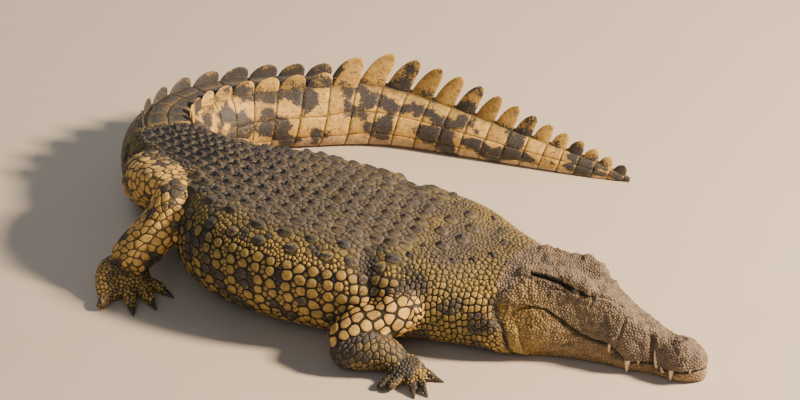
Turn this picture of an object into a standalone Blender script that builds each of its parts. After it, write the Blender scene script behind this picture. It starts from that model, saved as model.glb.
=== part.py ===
"""A full-grown Nile crocodile basking on flat ground, life size, with its tail swung round to the left.

The body is lofted along the spine, whose plan is drawn by bends of stated lengths and angles.
Lengths along the spine run backwards from the tip of the snout.  Metres, +Z up, head towards +X.
"""

import math

import bmesh
import bpy
import numpy as np
from mathutils import Vector

# ------------------------------------------------------------------ driving dimensions
HEAD = 0.555            # snout tip to the rear edge of the skull table
HEAD_END = 0.600        # where the head is parted from the neck
SHOULDERS = 0.860       # neck parted from trunk
LOINS = 1.480           # front trunk parted from rear trunk
VENT = 1.960            # trunk parted from tail, and the first ring of tail scutes
LENGTH = 3.680          # snout tip to tail tip
SNOUT_TIP = (0.874, -1.031)
HEAD_HEADING = 152.5    # degrees, the way that the spine runs at the snout, seen from above
GAP = 0.0005            # left between neighbouring solids
STEP = 0.005            # step of the walk along the spine
RING_PITCH = 0.07       # spacing of the body's sections
BODY_SIDES = 18         # points round a body section
LIMB_SIDES = 11
DIGIT_SIDES = 7
CLAW_SIDES = 6

# Each bend of the spine: where it starts, where it ends, and its turn in degrees, left positive.
SPINE_BENDS = (
    (0.69, 1.04, 11.5),
    (0.98, 1.68, -37.0),
    (1.70, 2.59, -123.5),
    (2.64, 3.04, -25.0),
)

# Neck, trunk and tail: distance along the spine, half width, top height.
BODY_SECTIONS = (
    (0.600, 0.196, 0.240),
    (0.680, 0.222, 0.262),
    (0.800, 0.262, 0.302),
    (0.950, 0.295, 0.322),
    (1.150, 0.326, 0.345),
    (1.350, 0.318, 0.352),
    (1.470, 0.284, 0.347),
    (1.590, 0.208, 0.336),
    (1.700, 0.165, 0.320),
    (1.830, 0.155, 0.292),
    (1.950, 0.153, 0.266),
    (2.150, 0.130, 0.227),
    (2.400, 0.115, 0.200),
    (2.700, 0.098, 0.190),
    (3.000, 0.075, 0.152),
    (3.300, 0.050, 0.096),
    (3.550, 0.027, 0.050),
    (3.680, 0.009, 0.014),
)
WIDEST = 0.45           # height of the widest part, as a share of the top height
SQUARENESS = 2.4        # exponent of the body's oval sections
BELLY_SINK = 0.018      # the belly's curve dips this far and is cut flat by the ground
PINCH = ((1.90, 0.0), (2.30, 0.12), (2.80, 0.30), (3.68, 0.35))      # how far the tail's top is drawn in
LEAN = ((1.90, 0.0), (2.30, 0.08), (2.60, 0.15), (3.68, 0.15))       # the tail's top leans to the right

# Rings of scutes round the tail: distance along the spine and length of one ring there.  The crest's
# profile is share of its height, half length as a share of the ring, and thickness.
WHORL_LENGTH = ((1.90, 0.074), (2.60, 0.084), (3.00, 0.072), (3.68, 0.044))
SINGLE_CREST_FROM = 2.74
TAIL_LENGTHS = (5, 10, 17)          # the tail is parted after this many rings of scutes
CREST_HEIGHT = ((1.90, 0.022), (2.20, 0.040), (2.68, 0.050), (2.78, 0.098), (3.00, 0.094),
                (3.20, 0.074), (3.45, 0.040), (3.68, 0.014))
CREST_SPREAD = ((1.90, 0.085), (2.30, 0.055), (2.74, 0.025))         # each crest row from the midline
CREST_SINK = 0.020                  # how deep a crest scute is rooted
CREST_RAKE = 0.45                   # its lean backwards, as a share of its height
CREST_THICKNESS = 0.014
CREST_SET = 0.004                   # how far its base lies under the tail's skin
CREST_PROFILE = ((0.0, 0.45, 1.0), (0.45, 0.41, 0.8), (0.85, 0.25, 0.5), (1.0, 0.10, 0.25))
WELD = 0.00002                      # points nearer than this are one point
GROUND_BLOCK = 6.0                  # a cutter larger than the whole animal

# The head's outline, in shares of the head's length from the snout tip.
LIP_WIDTH = (
    (0.000, 0.030), (0.050, 0.081), (0.100, 0.102), (0.155, 0.104), (0.220, 0.092), (0.255, 0.080),
    (0.300, 0.098), (0.340, 0.115), (0.385, 0.130), (0.430, 0.131), (0.510, 0.127), (0.560, 0.132),
    (0.640, 0.154), (0.745, 0.192), (0.830, 0.222), (0.920, 0.248), (1.000, 0.268), (1.100, 0.280),
)
LIP_HEIGHT = (
    (0.000, 0.084), (0.050, 0.082), (0.100, 0.072), (0.155, 0.064), (0.220, 0.058), (0.255, 0.066),
    (0.300, 0.076), (0.340, 0.074), (0.385, 0.068), (0.430, 0.088), (0.470, 0.117), (0.510, 0.140),
    (0.560, 0.144), (0.640, 0.172), (0.700, 0.212), (0.745, 0.256), (0.790, 0.292), (0.830, 0.318),
    (0.920, 0.326), (1.100, 0.326),
)
CHEEK_WIDTH = (
    (0.000, 0.028), (0.050, 0.082), (0.100, 0.104), (0.155, 0.099), (0.255, 0.074), (0.300, 0.095),
    (0.340, 0.113), (0.385, 0.127), (0.430, 0.124), (0.510, 0.118), (0.560, 0.122), (0.640, 0.138),
    (0.745, 0.170), (0.830, 0.198), (0.920, 0.222), (1.000, 0.242), (1.100, 0.255),
)
BROW_WIDTH = (
    (0.000, 0.018), (0.050, 0.050), (0.100, 0.070), (0.155, 0.068), (0.255, 0.054), (0.340, 0.068),
    (0.385, 0.076), (0.430, 0.071), (0.510, 0.074), (0.580, 0.086), (0.640, 0.106), (0.700, 0.118),
    (0.780, 0.122), (0.880, 0.125), (0.960, 0.132), (1.100, 0.150),
)
BROW_HEIGHT = (
    (0.000, 0.118), (0.030, 0.140), (0.080, 0.170), (0.130, 0.188), (0.180, 0.186), (0.255, 0.212),
    (0.340, 0.246), (0.400, 0.272), (0.480, 0.330), (0.560, 0.388), (0.620, 0.436), (0.680, 0.474),
    (0.740, 0.480), (0.800, 0.470), (0.880, 0.466), (0.960, 0.462), (1.100, 0.430),
)
CROWN_HEIGHT = (
    (0.000, 0.124), (0.030, 0.152), (0.080, 0.190), (0.130, 0.210), (0.180, 0.200), (0.255, 0.226),
    (0.340, 0.262), (0.400, 0.288), (0.480, 0.348), (0.560, 0.402), (0.640, 0.438), (0.720, 0.452),
    (0.800, 0.460), (0.960, 0.466), (1.100, 0.440),
)
CHIN_WIDTH = (      # half width of the flat that rests on the ground
    (0.000, 0.004), (0.050, 0.036), (0.100, 0.060), (0.160, 0.074), (0.255, 0.076), (0.340, 0.086),
    (0.500, 0.102), (0.690, 0.130), (0.850, 0.176), (0.960, 0.208), (1.100, 0.216),
)
JAW_WIDTH = (       # half width where the lower jaw bulges most
    (0.000, 0.020), (0.050, 0.070), (0.100, 0.092), (0.160, 0.096), (0.255, 0.090), (0.340, 0.104),
    (0.430, 0.120), (0.560, 0.134), (0.640, 0.158), (0.745, 0.202), (0.850, 0.250), (0.960, 0.288),
    (1.100, 0.306),
)
HEAD_STATIONS = (
    0.012, 0.030, 0.055, 0.085, 0.120, 0.155, 0.190, 0.225, 0.255, 0.285, 0.315, 0.350, 0.385, 0.420,
    0.455, 0.490, 0.530, 0.575, 0.620, 0.660, 0.700, 0.740, 0.785, 0.830, 0.880, 0.930, 0.990, 1.040,
)
TOOTH_SIDES = 6
TOOTH_TAPER = 0.85      # how much thinner the point is than the root
TOOTH_ROOM = 1.3        # the hollow that a tooth closes into, in widths of the tooth
MOUTH_GAP = 0.004       # shares of the head's length
RIM_INSET = 0.016
MOUTH_CORNER = 0.880
# Teeth that show with the mouth shut: place along the head, radius and length, in shares of its length.
UPPER_TEETH = (
    (0.158, 0.012, 0.052), (0.320, 0.008, 0.024), (0.390, 0.014, 0.062), (0.497, 0.008, 0.034),
)
LOWER_TEETH = ((0.250, 0.011, 0.062), (0.212, 0.007, 0.022))
EYE_PLACE = (0.700, 0.116, 0.404)
EYE_RADIUS = 0.0200

# ------------------------------------------------------------------ helper curves


def through(stations, column=1):
    """A smooth function through one column of a table of stations, without overshoot."""
    x = np.array([row[0] for row in stations], float)
    y = np.array([row[column] for row in stations], float)
    run, rise = np.diff(x), np.diff(y)
    slope = rise / run
    tangent = np.zeros(len(x))
    tangent[0], tangent[-1] = slope[0], slope[-1]
    same_way = slope[:-1] * slope[1:] > 0
    weight_a, weight_b = 2 * run[1:] + run[:-1], run[1:] + 2 * run[:-1]
    safe = np.where(same_way, slope[:-1], 1.0), np.where(same_way, slope[1:], 1.0)
    blended = (weight_a + weight_b) / (weight_a / safe[0] + weight_b / safe[1])
    tangent[1:-1] = np.where(same_way, blended, 0.0)

    def value(at):
        i = int(np.clip(np.searchsorted(x, at) - 1, 0, len(run) - 1))
        t = (np.clip(at, x[0], x[-1]) - x[i]) / run[i]
        return float(
            (1 + 2 * t) * (1 - t) ** 2 * y[i] + t * (1 - t) ** 2 * run[i] * tangent[i]
            + t * t * (3 - 2 * t) * y[i + 1] + t * t * (t - 1) * run[i] * tangent[i + 1]
        )

    return value


def walk_spine():
    """Positions and headings every STEP along the spine."""
    count = int(round(LENGTH / STEP)) + 1
    along = np.arange(count) * STEP
    heading = np.full(count, HEAD_HEADING)
    for start, end, turn in SPINE_BENDS:
        t = np.clip((along - start) / (end - start), 0, 1)
        heading += turn * t * t * (3 - 2 * t)
    angle = np.radians(heading)
    x = SNOUT_TIP[0] + np.concatenate([[0], np.cumsum(np.cos(angle[:-1]))]) * STEP
    y = SNOUT_TIP[1] + np.concatenate([[0], np.cumsum(np.sin(angle[:-1]))]) * STEP
    return along, x, y, angle


ALONG, SPINE_X, SPINE_Y, SPINE_ANGLE = walk_spine()


def on_body(s, left, up):
    """The point this far to the left of the spine and above the ground, at distance s along it."""
    angle = np.interp(s, ALONG, SPINE_ANGLE)
    x = np.interp(s, ALONG, SPINE_X) + left * math.sin(angle)
    y = np.interp(s, ALONG, SPINE_Y) - left * math.cos(angle)
    return Vector((x, y, up))


half_width_at, top_at = through(BODY_SECTIONS, 1), through(BODY_SECTIONS, 2)
pinch_at, lean_at, whorl_length_at = through(PINCH), through(LEAN), through(WHORL_LENGTH)
crest_height_at, crest_spread_at = through(CREST_HEIGHT), through(CREST_SPREAD)
lip_width, lip_height, cheek_width = through(LIP_WIDTH), through(LIP_HEIGHT), through(CHEEK_WIDTH)
brow_width, brow_height, crown_height = through(BROW_WIDTH), through(BROW_HEIGHT), through(CROWN_HEIGHT)
chin_width, jaw_width = through(CHIN_WIDTH), through(JAW_WIDTH)


def whorl_edges():
    """Where each ring of tail scutes starts, with the end of the last one."""
    edges = [VENT]
    while edges[-1] + whorl_length_at(edges[-1]) < LENGTH:
        edges.append(edges[-1] + whorl_length_at(edges[-1]))
    return edges


WHORLS = whorl_edges()
TAIL_CUTS = [WHORLS[count] for count in TAIL_LENGTHS]

# ------------------------------------------------------------------ sections and solids


def power(value, exponent):
    return math.copysign(abs(value) ** exponent, value)


def body_ring(s):
    """The oval section of the neck, trunk or tail, cut flat where it meets the ground."""
    half_width, top = half_width_at(s), top_at(s)
    widest = WIDEST * top
    ring = []
    for i in range(BODY_SIDES):
        angle = math.tau * i / BODY_SIDES
        left = half_width * power(math.cos(angle), 2 / SQUARENESS)
        rise = power(math.sin(angle), 2 / SQUARENESS)
        if rise > 0:
            up = widest + (top - widest) * rise
            left *= 1 - pinch_at(s) * rise
        else:
            up = max(0.0, widest + (widest + BELLY_SINK) * rise)
        ring.append(on_body(s, left - lean_at(s) * up, up))
    return ring


def surface_height(s, left):
    """Height of the body's upper side at this distance from its midline."""
    half_width, top = half_width_at(s), top_at(s)
    across = min(0.98, abs(left) / (half_width * (1 - pinch_at(s))))
    return WIDEST * top + (1 - WIDEST) * top * (1 - across ** SQUARENESS) ** (1 / SQUARENESS)


def curve_through(points, samples):
    """Points along a Catmull-Rom curve through a list of (left, up) points."""
    ends = [points[0], *points, points[-1]]
    route = []
    for i in range(len(points) - 1):
        a, b, c, d = (np.array(p) for p in ends[i:i + 4])
        for k in range(samples):
            t = k / samples
            route.append(0.5 * (2 * b + (c - a) * t + (2 * a - 5 * b + 4 * c - d) * t * t
                                + (3 * b - a - 3 * c + d) * t ** 3))
    route.append(np.array(points[-1]))
    return route


def upper_head_ring(u):
    """Section of the skull and upper jaw: lip, cheek, brow and crown on both sides, and a flat palate."""
    lip = (lip_width(u), lip_height(u))
    brow = (brow_width(u), brow_height(u))
    cheek = (cheek_width(u), lip[1] + 0.45 * (brow[1] - lip[1]))
    left_side = [lip, cheek, brow]
    right_side = [(-w, z) for w, z in reversed(left_side)]
    outline = curve_through([*left_side, (0.0, crown_height(u)), *right_side], 2)
    return [on_body(u * HEAD, w * HEAD, z * HEAD) for w, z in outline]


def lower_head_ring(u):
    """Section of the lower jaw: rim, bulge and chin on both sides, flat on the ground."""
    inset = RIM_INSET * max(0.0, 1 - (u / MOUTH_CORNER) ** 4)
    rim = (lip_width(u) - inset, lip_height(u) - MOUTH_GAP)
    jaw = (max(jaw_width(u), rim[0] + 0.001), 0.48 * rim[1])
    chin = (chin_width(u), 0.0)
    left_side = [rim, jaw, chin]
    right_side = [(-w, z) for w, z in reversed(left_side)]
    outline = curve_through(left_side, 2) + curve_through(right_side, 2)
    return [on_body(u * HEAD, w * HEAD, max(0.0, z) * HEAD) for w, z in outline]


def material(name, colour, roughness):
    finish = bpy.data.materials.new(name)
    finish.use_nodes = True
    surface = finish.node_tree.nodes["Principled BSDF"]
    surface.inputs["Base Color"].default_value = (*colour, 1.0)
    surface.inputs["Roughness"].default_value = roughness
    surface.inputs["Metallic"].default_value = 0.0
    return finish


def solid(name, rings, finish):
    """One closed body lofted through a list of rings that all have the same number of points."""
    form = bmesh.new()
    rows = [[form.verts.new(point) for point in ring] for ring in rings]
    count = len(rows[0])
    for near, far in zip(rows, rows[1:]):
        for i in range(count):
            form.faces.new((near[i], near[(i + 1) % count], far[(i + 1) % count], far[i]))
    form.faces.new(rows[0])
    form.faces.new(rows[-1])
    bmesh.ops.triangulate(form, faces=form.faces)      # flat faces cut cleanly
    bmesh.ops.recalc_face_normals(form, faces=form.faces)
    if form.calc_volume(signed=True) < 0:
        bmesh.ops.reverse_faces(form, faces=form.faces)
    mesh = bpy.data.meshes.new(name)
    form.to_mesh(mesh)
    form.free()
    body = bpy.data.objects.new(name, mesh)
    mesh.materials.append(finish)
    parts.objects.link(body)
    return body


def combine(body, tool, operation):
    """Join the tool to the body, or cut it away, and use the tool up."""
    step = body.modifiers.new(operation, "BOOLEAN")
    step.operation = operation
    step.object = tool
    bpy.context.view_layer.update()
    graph = bpy.context.evaluated_depsgraph_get()
    result = bpy.data.meshes.new_from_object(body.evaluated_get(graph))
    body.modifiers.clear()
    body.data = result
    bpy.data.objects.remove(tool)


def swollen(body):
    """A copy of a body whose surface lies GAP further out."""
    form = bmesh.new()
    form.from_mesh(body.data)
    bmesh.ops.recalc_face_normals(form, faces=form.faces)
    form.normal_update()
    for vertex in form.verts:
        vertex.co += vertex.normal * GAP * vertex.calc_shell_factor()
    mesh = bpy.data.meshes.new("swollen")
    form.to_mesh(mesh)
    form.free()
    copy = bpy.data.objects.new("swollen", mesh)
    parts.objects.link(copy)
    return copy


def mend(body):
    """Weld points that a cut left on top of each other, and drop loose slivers."""
    form = bmesh.new()
    form.from_mesh(body.data)
    bmesh.ops.remove_doubles(form, verts=form.verts, dist=WELD)
    bmesh.ops.dissolve_degenerate(form, edges=form.edges, dist=WELD)
    bmesh.ops.triangulate(form, faces=form.faces)
    islands = []
    waiting = set(form.verts)
    while waiting:
        island, edge_of_island = set(), [waiting.pop()]
        while edge_of_island:
            vertex = edge_of_island.pop()
            island.add(vertex)
            beside = {edge.other_vert(vertex) for edge in vertex.link_edges}
            edge_of_island += beside & waiting
            waiting -= beside
        islands.append(island)
    islands.sort(key=len)
    slivers = [vertex for island in islands[:-1] for vertex in island]
    bmesh.ops.delete(form, geom=slivers, context="VERTS")
    bmesh.ops.recalc_face_normals(form, faces=form.faces)
    form.to_mesh(body.data)
    form.free()


def fit_against(body, neighbours):
    """Cut the body back to GAP from each neighbour's surface."""
    for neighbour in neighbours:
        combine(body, swollen(neighbour), "DIFFERENCE")
        mend(body)


def rest_on_ground(body):
    """Cut away whatever lies below the ground."""
    bpy.ops.mesh.primitive_cube_add(size=GROUND_BLOCK, location=(0, 0, -GROUND_BLOCK / 2))
    combine(body, bpy.context.object, "DIFFERENCE")
    mend(body)


def body_stations(start, end):
    """Where one length of the body has its sections, with GAP left at its ends."""
    count = max(3, math.ceil((end - start) / RING_PITCH) + 1)
    return np.linspace(start + GAP / 2, end - GAP / 2, count)


def tube(name, path, finish, sides=LIMB_SIDES):
    """A closed tube along (x, y, z, half width, half height) stations."""
    points = [Vector(station[:3]) for station in path]
    rings = []
    for i, (x, y, z, wide, high) in enumerate(path):
        ahead = (points[min(i + 1, len(points) - 1)] - points[max(i - 1, 0)]).normalized()
        side = ahead.cross(Vector((0, 0, 1))).normalized()
        rise = side.cross(ahead)
        ring = []
        for k in range(sides):
            angle = math.tau * k / sides
            ring.append(points[i] + side * wide * math.cos(angle) + rise * high * math.sin(angle))
        rings.append(ring)
    return solid(name, rings, finish)


def crest_scute(s, length, left, finish):
    """One upright scute of the tail crest, a thin plate raked backwards, rooted in the tail."""
    height = crest_height_at(s)
    base = surface_height(s, left) - CREST_SET
    root = base - min(CREST_SINK, base / 2)
    rings = []
    for share, reach, thin in CREST_PROFILE:
        up = root + share * (base + height - root)
        back = CREST_RAKE * height * share ** 1.6
        half = CREST_THICKNESS / 2 * thin
        ring = []
        for along, across in ((-1, 0), (-0.5, 1), (0.5, 1), (1, 0), (0.5, -1), (-0.5, -1)):
            place = s + back + along * reach * length
            ring.append(on_body(place, left + across * half - lean_at(s) * up, up))
        rings.append(ring)
    return solid("crest_scute", rings, finish)


def tooth(place, outward, root_up, tip_up, radius, finish):
    """A slim cone from its root in the jaw to its point."""
    rings = []
    for share in (0.0, 0.5, 1.0):
        middle = on_body(place * HEAD, outward * HEAD, (root_up + (tip_up - root_up) * share) * HEAD)
        size = radius * HEAD * (1.0 - TOOTH_TAPER * share ** 1.5)
        turns = [math.tau * k / TOOTH_SIDES for k in range(TOOTH_SIDES)]
        rings.append([middle + Vector((math.cos(turn), math.sin(turn), 0)) * size for turn in turns])
    return solid("tooth", rings, finish)


# ------------------------------------------------------------------ sub-parts


def make_body(hide):
    """Neck, trunk and tail lengths, with the crest joined to the tail.  Returns them all as one body."""
    lengths = {
        "neck": (HEAD_END, SHOULDERS),
        "trunk_front": (SHOULDERS, LOINS),
        "trunk_rear": (LOINS, VENT),
    }
    tail_ends = [VENT, *TAIL_CUTS, LENGTH]
    for i in range(4):
        lengths[f"tail_{i + 1}"] = (tail_ends[i], tail_ends[i + 1])
    stations = {name: body_stations(start, end) for name, (start, end) in lengths.items()}
    bodies = {name: solid(name, [body_ring(s) for s in along], hide) for name, along in stations.items()}
    for start, end in zip(WHORLS, WHORLS[1:]):
        middle = (start + end) / 2
        owner = next(name for name, (a, b) in lengths.items() if a <= middle < b)
        spread = crest_spread_at(middle)
        rows = (0.0,) if middle > SINGLE_CREST_FROM else (-spread, spread)
        for left in rows:
            combine(bodies[owner], crest_scute(middle, end - start, left, hide), "UNION")
    return solid("whole_body", [body_ring(s) for along in stations.values() for s in along], hide)


def make_head(hide, pale, dark):
    """Skull with upper jaw, lower jaw, their visible teeth, and the eyes."""
    stations = [*HEAD_STATIONS, (HEAD_END - GAP / 2) / HEAD]
    upper = solid("head_upper", [upper_head_ring(u) for u in stations], hide)
    lower = solid("head_lower", [lower_head_ring(u) for u in stations], pale)
    for side, sign in (("left", 1), ("right", -1)):
        for place, radius, length in UPPER_TEETH:
            outward = sign * (lip_width(place) - 0.3 * radius)
            lip = lip_height(place)
            groove = tooth(place, outward, lip + 0.02, lip - length - 0.01, radius * TOOTH_ROOM, pale)
            combine(lower, groove, "DIFFERENCE")
            combine(upper, tooth(place, outward, lip + 0.02, lip - length, radius, pale), "UNION")
        for place, radius, length in LOWER_TEETH:
            outward = sign * (lip_width(place) - RIM_INSET - radius)
            rim = lip_height(place) - MOUTH_GAP
            cavity = tooth(place, outward, rim - 0.02, rim + length + 0.01, radius * TOOTH_ROOM, pale)
            combine(upper, cavity, "DIFFERENCE")
            combine(lower, tooth(place, outward, rim - 0.02, rim + length, radius, pale), "UNION")
        along, outward, up = EYE_PLACE
        centre = on_body(along * HEAD, sign * outward * HEAD, up * HEAD)
        bpy.ops.mesh.primitive_uv_sphere_add(segments=12, ring_count=8, radius=EYE_RADIUS, location=centre)
        eye = bpy.context.object
        eye.name = f"eye_{side}"
        bpy.ops.object.transform_apply(location=True, rotation=True, scale=True)
        for holder in eye.users_collection:
            holder.objects.unlink(eye)
        parts.objects.link(eye)
        eye.data.materials.append(dark)
        eye.data.shade_smooth()
        fit_against(upper, [eye])


# Limb routes: x, y, z, half width and half height of each station.
FORELEG = {
    "right": {
        "upper_arm": (
            (0.085, -0.760, 0.165, 0.040, 0.040), (0.060, -0.790, 0.165, 0.085, 0.085),
            (0.000, -0.860, 0.150, 0.080, 0.078), (-0.075, -0.903, 0.120, 0.067, 0.066),
            (-0.140, -0.927, 0.092, 0.062, 0.060), (-0.180, -0.940, 0.083, 0.050, 0.046),
            (-0.202, -0.946, 0.078, 0.022, 0.020),
        ),
        "forearm": (
            (-0.200, -0.955, 0.060, 0.022, 0.024), (-0.175, -0.956, 0.060, 0.052, 0.056),
            (-0.120, -0.962, 0.062, 0.062, 0.064), (-0.060, -0.972, 0.058, 0.056, 0.056),
            (-0.010, -0.986, 0.048, 0.045, 0.042), (0.012, -0.996, 0.040, 0.030, 0.028),
        ),
        "hand": (
            (-0.004, -0.976, 0.036, 0.030, 0.026), (0.010, -0.992, 0.034, 0.046, 0.032),
            (0.020, -1.018, 0.028, 0.056, 0.030), (0.026, -1.044, 0.020, 0.056, 0.022),
            (0.030, -1.058, 0.014, 0.040, 0.012),
        ),
        "digits": (      # root, tip, radius; first digit first
            ((0.060, -1.020, 0.022), (0.098, -1.032, 0.012), 0.013),
            ((0.048, -1.040, 0.022), (0.068, -1.092, 0.013), 0.014),
            ((0.028, -1.046, 0.022), (0.036, -1.098, 0.013), 0.014),
            ((0.006, -1.044, 0.022), (-0.034, -1.096, 0.012), 0.013),
            ((-0.012, -1.032, 0.020), (-0.064, -1.086, 0.011), 0.012),
        ),
    },
    "left": {
        "upper_arm": (
            (0.170, -0.490, 0.155, 0.040, 0.040), (0.170, -0.450, 0.160, 0.085, 0.085),
            (0.135, -0.375, 0.140, 0.080, 0.078), (0.085, -0.290, 0.110, 0.067, 0.064),
            (0.035, -0.225, 0.086, 0.062, 0.058), (0.010, -0.200, 0.078, 0.050, 0.046),
            (-0.002, -0.188, 0.072, 0.022, 0.020),
        ),
        "forearm": (
            (0.002, -0.195, 0.056, 0.022, 0.024), (0.022, -0.190, 0.058, 0.052, 0.054),
            (0.070, -0.182, 0.058, 0.060, 0.060), (0.120, -0.180, 0.052, 0.052, 0.050),
            (0.165, -0.185, 0.044, 0.043, 0.040), (0.185, -0.188, 0.038, 0.030, 0.026),
        ),
        "hand": (
            (0.170, -0.186, 0.034, 0.030, 0.024), (0.186, -0.186, 0.032, 0.046, 0.030),
            (0.212, -0.182, 0.026, 0.056, 0.028), (0.236, -0.176, 0.018, 0.054, 0.020),
            (0.250, -0.172, 0.013, 0.038, 0.011),
        ),
        "digits": (
            ((0.228, -0.216, 0.020), (0.274, -0.244, 0.012), 0.013),
            ((0.238, -0.198, 0.020), (0.296, -0.208, 0.013), 0.014),
            ((0.242, -0.178, 0.020), (0.300, -0.166, 0.013), 0.014),
            ((0.236, -0.156, 0.020), (0.282, -0.120, 0.012), 0.013),
            ((0.222, -0.142, 0.018), (0.246, -0.096, 0.011), 0.012),
        ),
    },
}
HINDLEG = {
    "right": {
        "thigh": (
            (-0.752, -0.090, 0.150, 0.050, 0.050), (-0.756, -0.165, 0.170, 0.090, 0.088),
            (-0.738, -0.250, 0.210, 0.088, 0.084), (-0.704, -0.336, 0.256, 0.072, 0.068),
            (-0.680, -0.386, 0.278, 0.060, 0.056), (-0.668, -0.420, 0.284, 0.026, 0.026),
        ),
        "shank": (
            (-0.656, -0.382, 0.302, 0.024, 0.024), (-0.664, -0.410, 0.282, 0.057, 0.055),
            (-0.672, -0.452, 0.240, 0.068, 0.064), (-0.704, -0.478, 0.188, 0.070, 0.066),
            (-0.758, -0.494, 0.132, 0.074, 0.066), (-0.803, -0.512, 0.092, 0.072, 0.056),
            (-0.814, -0.526, 0.072, 0.046, 0.036),
        ),
        "foot": (
            (-0.826, -0.462, 0.052, 0.042, 0.036), (-0.826, -0.490, 0.052, 0.072, 0.050),
            (-0.820, -0.530, 0.044, 0.084, 0.042), (-0.810, -0.570, 0.030, 0.090, 0.028),
            (-0.802, -0.594, 0.019, 0.078, 0.016),
        ),
        "digits": (
            ((-0.736, -0.540, 0.026), (-0.692, -0.566, 0.014), 0.016),
            ((-0.762, -0.574, 0.028), (-0.730, -0.626, 0.015), 0.018),
            ((-0.800, -0.584, 0.028), (-0.786, -0.652, 0.015), 0.018),
            ((-0.850, -0.580, 0.026), (-0.880, -0.655, 0.013), 0.017),
        ),
    },
    "left": {
        "thigh": (
            (-0.580, -0.070, 0.145, 0.050, 0.050), (-0.545, -0.035, 0.145, 0.088, 0.088),
            (-0.480, 0.005, 0.128, 0.084, 0.078), (-0.405, 0.025, 0.104, 0.068, 0.062),
            (-0.360, 0.030, 0.094, 0.056, 0.052), (-0.330, 0.030, 0.088, 0.026, 0.026),
        ),
        "shank": (
            (-0.330, 0.052, 0.082, 0.024, 0.026), (-0.352, 0.060, 0.078, 0.050, 0.054),
            (-0.390, 0.090, 0.070, 0.054, 0.056), (-0.425, 0.125, 0.062, 0.052, 0.050),
            (-0.448, 0.158, 0.054, 0.048, 0.042), (-0.456, 0.178, 0.048, 0.030, 0.026),
        ),
        "foot": (
            (-0.492, 0.172, 0.040, 0.034, 0.030), (-0.456, 0.176, 0.044, 0.058, 0.044),
            (-0.404, 0.176, 0.036, 0.068, 0.036), (-0.362, 0.184, 0.026, 0.074, 0.026),
            (-0.340, 0.188, 0.017, 0.062, 0.015),
        ),
        "digits": (
            ((-0.370, 0.138, 0.024), (-0.318, 0.106, 0.014), 0.015),
            ((-0.356, 0.164, 0.026), (-0.290, 0.150, 0.015), 0.017),
            ((-0.352, 0.196, 0.026), (-0.284, 0.202, 0.015), 0.017),
            ((-0.364, 0.224, 0.024), (-0.300, 0.246, 0.013), 0.015),
        ),
    },
}
CLAWED_DIGITS = 3       # the outer digits of each foot have no claw
CLAW_LENGTH = 0.030
# Place along the digit or claw as a share of its length, rise or drop, and share of its thickness.
DIGIT_PROFILE = ((-0.35, 0.0, 0.9), (0.20, 0.004, 1.1), (0.60, 0.005, 1.0), (1.0, 0.0, 0.75))
CLAW_PROFILE = ((0.0, 0.0, 1.0), (0.55, 0.22, 0.65), (1.0, 0.67, 0.12))
CLAW_RADIUS = 0.612     # share of the digit's radius


def digit(root, tip, radius, finish):
    """One finger or toe, arched at its knuckle and flat along the ground."""
    root, tip = Vector(root), Vector(tip)
    path = []
    for share, lift, size in DIGIT_PROFILE:
        point = root.lerp(tip, share)
        path.append((point.x, point.y, point.z + lift, radius * size, radius * size))
    return tube("digit", path, finish, DIGIT_SIDES)


def claw(name, root, tip, radius, finish):
    """A curved horn claw that carries on from the digit's blunt end and comes down to the ground."""
    root, tip = Vector(root), Vector(tip)
    ahead = (tip - root).normalized()
    size = radius * CLAW_RADIUS
    path = []
    for share, drop, thin in CLAW_PROFILE:
        point = tip + ahead * (GAP + share * CLAW_LENGTH)
        up = max(GAP + size * thin, point.z - drop * tip.z)
        path.append((point.x, point.y, up, size * thin, size * thin))
    return tube(name, path, finish, CLAW_SIDES)


def make_limb(side, names, routes, whole_body, hide, horn):
    """Two lengths of a leg, its foot and its claws, each fitted against what it grows from."""
    shapes = [whole_body]
    for name in names:
        piece = tube(f"{name}_{side}", routes[name], hide)
        if name == names[-1]:
            for root, tip, radius in routes["digits"]:
                combine(piece, digit(root, tip, radius, hide), "UNION")
        uncut = bpy.data.objects.new("uncut", piece.data.copy())
        fit_against(piece, shapes)
        rest_on_ground(piece)
        shapes.append(uncut)
    for number, (root, tip, radius) in enumerate(routes["digits"][:CLAWED_DIGITS]):
        nail = claw(f"claw_{names[-1]}_{side}_{number + 1}", root, tip, radius, horn)
        fit_against(nail, shapes[-1:])
        rest_on_ground(nail)
    for shape in shapes[1:]:
        bpy.data.objects.remove(shape)


def stand_on_origin():
    """Move everything so that the origin is under the middle of the whole animal."""
    corners = [body.matrix_world @ Vector(corner) for body in parts.objects for corner in body.bound_box]
    middle = (np.min(corners, axis=0) + np.max(corners, axis=0)) / 2
    for body in parts.objects:
        body.location.x -= middle[0]
        body.location.y -= middle[1]


for leftover in list(bpy.data.objects):
    bpy.data.objects.remove(leftover)
parts = bpy.data.collections.new("nile_crocodile")
bpy.context.scene.collection.children.link(parts)
back_hide = material("back_hide", (0.13, 0.11, 0.075), 0.6)
pale_hide = material("pale_hide", (0.38, 0.32, 0.19), 0.6)
eye_dark = material("eye", (0.05, 0.04, 0.01), 0.15)
claw_horn = material("claw_horn", (0.06, 0.05, 0.045), 0.4)

whole_body = make_body(back_hide)
make_head(back_hide, pale_hide, eye_dark)
for side in ("left", "right"):
    make_limb(side, ("upper_arm", "forearm", "hand"), FORELEG[side], whole_body, back_hide, claw_horn)
    make_limb(side, ("thigh", "shank", "foot"), HINDLEG[side], whole_body, back_hide, claw_horn)
bpy.data.objects.remove(whole_body)
stand_on_origin()
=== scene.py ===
"""A full-grown Nile crocodile basking: one skin, scales as solid plates over it, teeth, claws and eyes.

Metres, +Z up, in the frame of the solids.  "Along" is the distance from the snout tip along the spine,
"left" the distance to the animal's left of it, and "up" the height above the ground.
"""
import math
import random

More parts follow.
